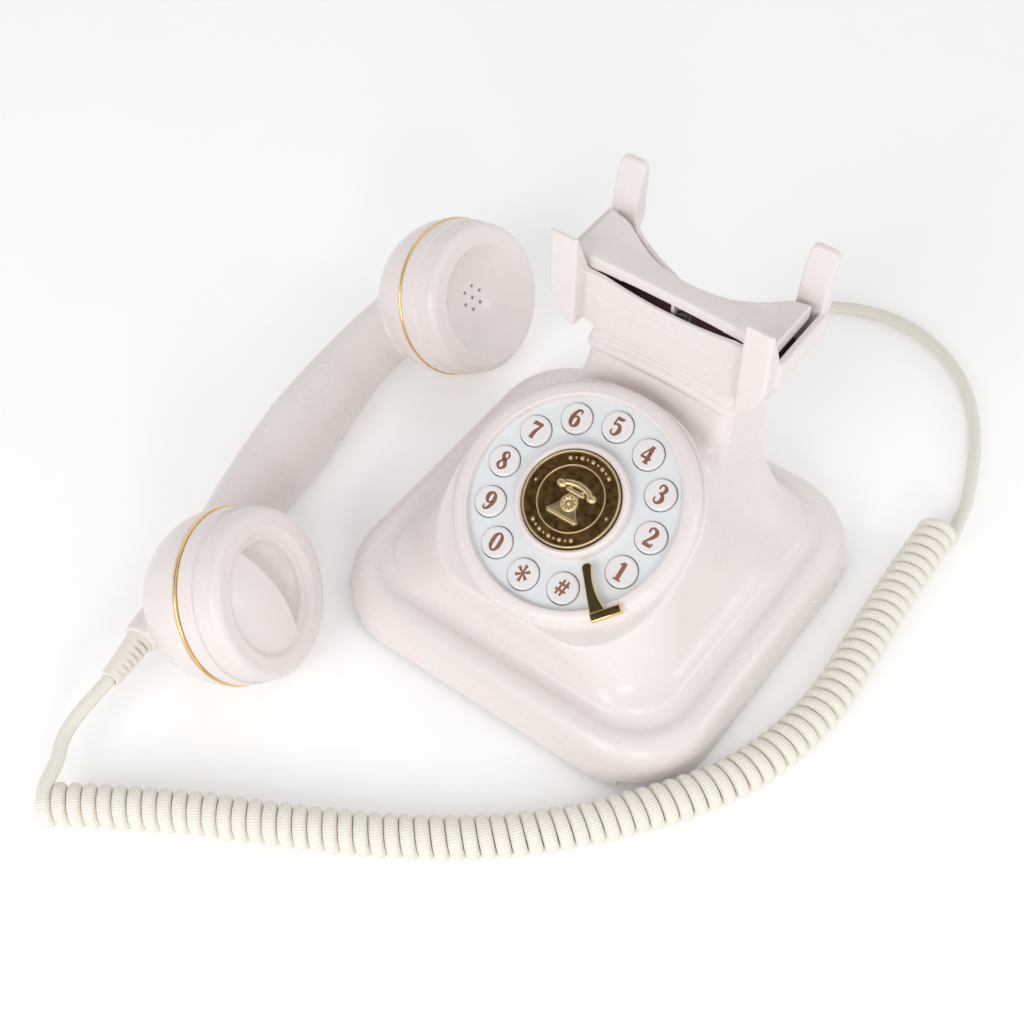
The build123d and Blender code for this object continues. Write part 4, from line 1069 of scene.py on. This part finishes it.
# Pen strokes of each character in a box 0.62 wide and 1 high. Every point is x, y and the
# pen's width there; a stroke runs smoothly through its points.
SIX = (
    ((0.50, 0.86, 0.06), (0.40, 0.96, 0.09), (0.22, 0.86, 0.13), (0.11, 0.52, 0.19),
     (0.15, 0.18, 0.17), (0.31, 0.03, 0.09), (0.47, 0.14, 0.16), (0.51, 0.34, 0.18),
     (0.43, 0.54, 0.12), (0.30, 0.58, 0.08), (0.15, 0.44, 0.08)),
    ((0.43, 0.85, 0.15), (0.50, 0.85, 0.15)),
)
STROKES = {
    "1": (
        ((0.32, 0.04, 0.19), (0.32, 0.96, 0.19)),
        ((0.10, 0.79, 0.06), (0.20, 0.84, 0.09), (0.33, 0.95, 0.10)),
        ((0.11, 0.03, 0.07), (0.53, 0.03, 0.07)),
    ),
    "2": (
        ((0.11, 0.72, 0.08), (0.14, 0.90, 0.08), (0.31, 0.97, 0.10), (0.50, 0.84, 0.18),
         (0.48, 0.64, 0.18), (0.31, 0.38, 0.11), (0.10, 0.10, 0.07)),
        ((0.09, 0.09, 0.16), (0.32, 0.09, 0.17), (0.52, 0.08, 0.12), (0.57, 0.25, 0.05)),
        ((0.10, 0.76, 0.16), (0.19, 0.76, 0.16)),
    ),
    "3": (
        ((0.12, 0.80, 0.08), (0.19, 0.95, 0.08), (0.34, 0.97, 0.10), (0.48, 0.83, 0.18),
         (0.42, 0.62, 0.13), (0.25, 0.54, 0.06)),
        ((0.25, 0.54, 0.06), (0.44, 0.48, 0.13), (0.52, 0.28, 0.20), (0.42, 0.07, 0.13),
         (0.26, 0.03, 0.08), (0.12, 0.14, 0.08)),
        ((0.11, 0.80, 0.15), (0.19, 0.80, 0.15)),
        ((0.10, 0.20, 0.15), (0.18, 0.20, 0.15)),
    ),
    "4": (
        ((0.41, 0.03, 0.17), (0.41, 0.97, 0.17)),
        ((0.40, 0.97, 0.07), (0.04, 0.31, 0.07)),
        ((0.02, 0.28, 0.10), (0.60, 0.28, 0.10)),
        ((0.26, 0.03, 0.07), (0.56, 0.03, 0.07)),
    ),
    "5": (
        ((0.14, 0.91, 0.15), (0.36, 0.90, 0.15), (0.53, 0.96, 0.07)),
        ((0.14, 0.96, 0.07), (0.11, 0.50, 0.07)),
        ((0.11, 0.51, 0.06), (0.27, 0.60, 0.09), (0.43, 0.55, 0.14), (0.52, 0.32, 0.20),
         (0.42, 0.08, 0.13), (0.26, 0.03, 0.08), (0.11, 0.14, 0.08)),
        ((0.10, 0.19, 0.15), (0.18, 0.19, 0.15)),
    ),
    "6": SIX,
    "7": (
        ((0.09, 0.89, 0.17), (0.30, 0.88, 0.16), (0.55, 0.94, 0.08)),
        ((0.09, 0.97, 0.06), (0.06, 0.72, 0.06)),
        ((0.55, 0.94, 0.07), (0.42, 0.66, 0.11), (0.31, 0.36, 0.18), (0.28, 0.04, 0.20)),
    ),
    "8": (
        ((0.47, 0.80, 0.09), (0.32, 0.97, 0.08), (0.16, 0.82, 0.14), (0.24, 0.62, 0.18),
         (0.42, 0.45, 0.18), (0.50, 0.22, 0.15), (0.31, 0.03, 0.09), (0.12, 0.20, 0.13),
         (0.21, 0.44, 0.08), (0.41, 0.61, 0.07), (0.47, 0.80, 0.09)),
    ),
    "9": tuple(tuple((0.62 - x, 1 - y, w) for x, y, w in stroke) for stroke in SIX),
    "0": (
        ((0.31, 0.97, 0.08), (0.13, 0.80, 0.15), (0.10, 0.50, 0.19), (0.13, 0.20, 0.15),
         (0.31, 0.03, 0.08), (0.49, 0.20, 0.15), (0.52, 0.50, 0.19), (0.49, 0.80, 0.15),
         (0.31, 0.97, 0.08)),
    ),
    "star": tuple(
        ((0.31, 0.52, 0.05),
         (0.31 + 0.38 * math.sin(turn), 0.52 + 0.46 * math.cos(turn), 0.15))
        for turn in np.radians(range(0, 360, 60))
    ),
    "hash": (
        ((0.14, 0.08, 0.10), (0.26, 0.92, 0.10)),
        ((0.38, 0.08, 0.10), (0.50, 0.92, 0.10)),
        ((0.00, 0.34, 0.10), (0.60, 0.34, 0.10)),
        ((0.03, 0.66, 0.10), (0.63, 0.66, 0.10)),
    ),
}
NUMERAL_HEIGHT = 6.6
NUMERAL_BOX = 0.62


def smooth_stroke(points, steps=9):
    """Points along a stroke, as a spline that passes through the given ones."""
    points = np.array(points, float)
    if len(points) == 2:
        return points
    closed = np.allclose(points[0, :2], points[-1, :2])
    if closed:
        before, after = points[-2], points[1]
    else:
        before, after = 2 * points[0] - points[1], 2 * points[-1] - points[-2]
    padded = np.vstack([before, points, after])
    found = []
    for a, b, c, d in zip(padded, padded[1:], padded[2:], padded[3:]):
        for s in np.linspace(0, 1, steps, endpoint=False):
            found.append(0.5 * (
                2 * b + (c - a) * s + (2 * a - 5 * b + 4 * c - d) * s ** 2
                + (3 * b - a - 3 * c + d) * s ** 3
            ))
    found.append(points[-1])
    return np.array(found)


def stroke_solid(shape, stroke, place, low, high):
    """Add one pen stroke to a bmesh as a thin solid between two levels."""
    line = smooth_stroke(stroke)
    way = directions(line[:, :2])
    side = np.stack([-way[:, 1], way[:, 0]], 1) * (line[:, 2:3] * 1.15 + 0.01) / 2
    rims = []
    for edge in (line[:, :2] + side, line[:, :2] - side):
        for level in (low, high):
            rims.append([
                shape.verts.new(place @ Vector((
                    (x - NUMERAL_BOX / 2) * NUMERAL_HEIGHT, (y - 0.5) * NUMERAL_HEIGHT, level
                ))) for x, y in edge
            ])
    order = (rims[0], rims[1], rims[3], rims[2])
    for first, second in zip(order, order[1:] + order[:1]):
        for i in range(len(line) - 1):
            shape.faces.new((first[i], first[i + 1], second[i + 1], second[i]))
    shape.faces.new([rim[0] for rim in order])
    shape.faces.new([rim[-1] for rim in reversed(order)])


def add_numerals():
    """Printed characters of the twelve keys, each riding with its own."""
    for index, name in enumerate(KEY_NAMES):
        angle = math.radians(FIRST_BUTTON + BUTTON_STEP * index)
        spot = (BUTTON_RING * math.cos(angle), BUTTON_RING * math.sin(angle), 0)
        shape = bmesh.new()
        for number, stroke in enumerate(STROKES[name]):
            top = 0.05 + 0.004 * number
            stroke_solid(shape, stroke, DIAL @ Matrix.Translation(spot), -0.2, top)
        bmesh.ops.recalc_face_normals(shape, faces=shape.faces)
        mark = from_shape("numeral_" + name, shape, NUMERAL_PAINT)
        settle(mark, "key_" + name, "bronze")


add_numerals()


def add_bezel():
    """Soft ring round the dial, with a bright inner lip."""
    profile = [(36.4, -2.6), (36.9, 0.6)] + arc((37.7, 0.8), 0.8, 180, 80, 6)
    profile += [
        (39.2, 1.35), (40.4, 1.0), (41.5, 0.2), (42.3, -0.9), (42.75, -2.2), (42.85, -4.4),
        (36.4, -4.4), (36.4, -2.6),
    ]
    ring = lathe("dial_bezel_ring", profile, SHELL, DIAL, 160)
    settle(ring, "phone", "shell", "dial_bezel")


add_bezel()


def polar(radius, degrees):
    """Point on a circle about the dial's centre."""
    angle = math.radians(degrees)
    return np.array([radius * math.cos(angle), radius * math.sin(angle)])


def arc_through(start, middle, end, steps=14):
    """Points of the circle through three points, without the last one."""
    a, b = middle - start, end - start
    cross = 2 * (a[0] * b[1] - a[1] * b[0])
    long_a, long_b = a.dot(a), b.dot(b)
    shift = np.array([b[1] * long_a - a[1] * long_b, a[0] * long_b - b[0] * long_a]) / cross
    centre = start + shift
    turns = [math.atan2(*(p - centre)[::-1]) for p in (start, middle, end)]
    ways = [(turn - turns[0]) % (2 * math.pi) for turn in turns]
    sweep = ways[2] if ways[1] < ways[2] else ways[2] - 2 * math.pi
    radius = math.hypot(*shift)
    angles = [turns[0] + sweep * i / steps for i in range(steps)]
    return [centre + radius * np.array([math.cos(angle), math.sin(angle)]) for angle in angles]


def add_slab(name, outline, low, high, bevel, place, material):
    """Flat plate with a softened top edge, drawn from its outline."""
    shape = bmesh.new()
    floor = [shape.verts.new(place @ Vector((x, y, low))) for x, y in outline]
    roof = [shape.verts.new(place @ Vector((x, y, high))) for x, y in outline]
    shape.faces.new(list(reversed(floor)))
    top = shape.faces.new(roof)
    for i in range(len(outline)):
        j = (i + 1) % len(outline)
        shape.faces.new((floor[i], floor[j], roof[j], roof[i]))
    bmesh.ops.recalc_face_normals(shape, faces=shape.faces)
    bmesh.ops.bevel(
        shape, geom=list(top.edges), offset=bevel, segments=3, affect="EDGES", profile=0.5
    )
    made = from_shape(name, shape, material)
    made.data.shade_smooth()
    made.data.set_sharp_from_angle(angle=math.radians(50))
    return made


def add_finger_stop():
    """Polished curved blade and its foot on the bezel."""
    corners = polar(23.4, -49.0), polar(39.5, -48.6), polar(39.5, -40.3), polar(23.6, -40.2)
    outline = arc_through(corners[0], polar(32.2, -48.8), corners[1])
    outline += [corners[1]]
    outline += arc_through(corners[2], polar(33.0, -42.8), corners[3])
    outline += arc_through(corners[3], polar(22.3, -44.7), corners[0], 8)
    blade = add_slab("finger_stop_blade", outline, 2.1, 3.3, 0.32, DIAL, GOLD)
    settle(blade, "phone", "gold", "finger_stop")
    foot_turn = -41.1
    spot = Matrix.Translation((*polar(40.4, foot_turn), 0))
    place = DIAL @ spot @ Matrix.Rotation(math.radians(foot_turn), 4, "Z")
    plan = [(-1.5, -5.3), (1.5, -5.3), (1.5, 5.3), (-1.5, 5.3)]
    foot = add_slab("finger_stop_foot", plan, 1.0, 3.5, 0.35, place, GOLD)
    settle(foot, "phone", "gold")


add_finger_stop()


MEDALLION_TOP = 4.4
MEDALLION_RADIUS = 17.1


def bump_line(x, y, x0, y0, x1, y1, width):
    """Rounded ridge of unit height along a straight line."""
    dx, dy = x1 - x0, y1 - y0
    along = np.clip(((x - x0) * dx + (y - y0) * dy) / (dx * dx + dy * dy), 0, 1)
    away = np.hypot(x - x0 - along * dx, y - y0 - along * dy)
    return np.sqrt(np.clip(1 - (away / width) ** 2, 0, 1))


def bump_ball(x, y, x0, y0, half_x, half_y=None):
    """Rounded button of unit height."""
    half_y = half_y or half_x
    return np.sqrt(np.clip(1 - ((x - x0) / half_x) ** 2 - ((y - y0) / half_y) ** 2, 0, 1))


EMBLEM_X = 0.3
WHEEL_Y = -1.6
BEAD_RING = 14.2


def emblem(x, y):
    """Relief of a generic old desk telephone, with beads and dots in place of words."""
    r = np.hypot(x, y)
    away = x - EMBLEM_X
    # handset: a bowed bar with a bell at each end
    bow = 5.2 - 0.045 * away ** 2
    parts = [0.75 * np.sqrt(np.clip(1 - ((y - bow) / 1.15) ** 2, 0, 1)) * (np.abs(away) < 5.2)]
    for side in (-1, 1):
        parts.append(0.95 * bump_ball(away, y, side * 5.9, 3.2, 1.9, 1.5))
        parts.append(0.60 * bump_line(away, y, side * 2.2, 3.0, side * 2.6, 4.9, 0.55))
    # cradle, waist and spreading foot
    parts.append(0.6 * bump_line(x, y, -2.6, 2.6, 3.2, 2.6, 0.8))
    foot_half = 1.9 + 0.055 * np.clip(2.6 - y, 0, 9) ** 2
    parts.append(0.40 * ((y < 2.6) & (y > -6.4) & (np.abs(away) < foot_half)))
    parts.append(0.65 * bump_line(x, y, -4.9, -6.6, 5.5, -6.6, 0.75))
    # finger wheel: a hub inside a ring of small buttons
    wheel = np.hypot(away, y - WHEEL_Y)
    parts.append(0.70 * np.clip(1.4 - np.abs(wheel - 2.1), 0, 1) * (wheel < 3.2))
    for turn in range(10):
        angle = math.radians(36 * turn)
        spot = (2.2 * math.cos(angle), WHEEL_Y + 2.2 * math.sin(angle))
        parts.append(bump_ball(away, y, *spot, 0.55))
    parts.append(0.95 * bump_ball(away, y, 0, WHEEL_Y, 0.9))
    # beads over two arcs and a small dot at each side
    for middle in (90, 270):
        for step in range(-4, 5):
            size = 0.75 if step % 2 == 0 else 0.45
            parts.append(0.55 * bump_ball(x, y, *polar(BEAD_RING, middle + 8.2 * step), size))
    for middle in (0, 180):
        parts.append(0.6 * bump_ball(x, y, *polar(BEAD_RING, middle), 0.55))
    parts = [0.9 * part for part in parts]
    for ring, half, height in ((16.45, 0.42, 0.62), (11.6, 0.30, 0.50)):
        parts.append(height * np.sqrt(np.clip(1 - ((r - ring) / half) ** 2, 0, 1)))
    return np.maximum.reduce(parts)


def antique_bronze():
    """Bronze whose hollows are dark and whose raised edges are rubbed bright."""
    made, tree, shader = new_material("antique_bronze", (0.3, 0.2, 0.1), 0.35, 1.0)
    height = add_node(tree, "Attribute", attribute_name="relief").outputs["Fac"]
    patina = add_noise(tree, 2.2, 5.0)
    hollow = add_mix(
        tree, add_range(tree, patina, 0.0, 1.0), (0.13, 0.072, 0.024), (0.24, 0.145, 0.058)
    )
    raised = add_range(tree, height, 0.0, 1.0, 0.02, 0.45)
    tree.links.new(add_mix(tree, raised, hollow, (0.66, 0.52, 0.29)), shader.inputs["Base Color"])
    tree.links.new(add_range(tree, patina, 0.30, 0.48), shader.inputs["Roughness"])
    add_bump(tree, shader, add_noise(tree, 0.5, 4.0), 0.25, 0.05)
    return made


def add_medallion():
    """Round two-way rocker with its relief, and a smooth side and back."""
    rings = 150
    sides = 400
    radii = np.linspace(0.05, MEDALLION_RADIUS - 0.35, rings)
    turn = 2 * math.pi * np.arange(sides) / sides
    x = radii[:, None] * np.cos(turn)
    y = radii[:, None] * np.sin(turn)
    height = emblem(x, y)
    level = MEDALLION_TOP - 0.62 + height
    points = list(np.stack([x, y, level], 2).reshape(-1, 3))
    relief = list(height.reshape(-1))
    underside = MEDALLION_TOP - 3.4
    rim = MEDALLION_RADIUS
    edges = ((rim, MEDALLION_TOP - 1.0), (rim, underside), (0.05, underside))
    for radius, low in edges:
        points += [(radius * math.cos(a), radius * math.sin(a), low) for a in turn]
        relief += [0.0] * sides
    faces = [(a, d, c, b) for a, b, c, d in grid_faces(rings + len(edges), sides)]
    faces.append(tuple(range(sides)))
    faces.append(tuple(reversed(range(len(points) - sides, len(points)))))
    data = bpy.data.meshes.new("medallion_face")
    data.from_pydata([tuple(c * MM for c in DIAL @ Vector(p)) for p in points], [], faces)
    data.shade_smooth()
    data.materials.append(antique_bronze())
    data.attributes.new("relief", "FLOAT", "POINT").data.foreach_set("value", relief)
    settle(add_object("medallion_face", data), "medallion", "bronze", "medallion_button")


add_medallion()


# ---------------------------------------------------------------- finishes of the CAD parts
FINISHES = {
    "shell": SHELL, "dial_white": DIAL_WHITE, "key_cap": KEY_WHITE, "gold": GOLD,
    "bronze": BRONZE, "rubber": RUBBER, "grey_rubber": GREY_RUBBER, "steel": STEEL,
    "board": BOARD, "dark_plastic": BLACK_PLASTIC, "cord_fabric": CORD_BRAID,
    "relief": RELIEF_PLASTIC, "clear_plug": PLUG_PLASTIC,
}
for part in frame["record"]["subparts"]:
    holder = frame["nodes"][part["node"]]
    holder.data.materials.clear()
    holder.data.materials.append(FINISHES[part["material_slot"]])


FLOOR_HALF = 1500


def add_floor():
    """Plain pale floor, not part of the object."""
    corners = [(x * FLOOR_HALF, y * FLOOR_HALF, 0) for x, y in ((-1, -1), (1, -1), (1, 1), (-1, 1))]
    add_mesh("floor", corners, [(0, 1, 2, 3)], FLOOR)


add_floor()
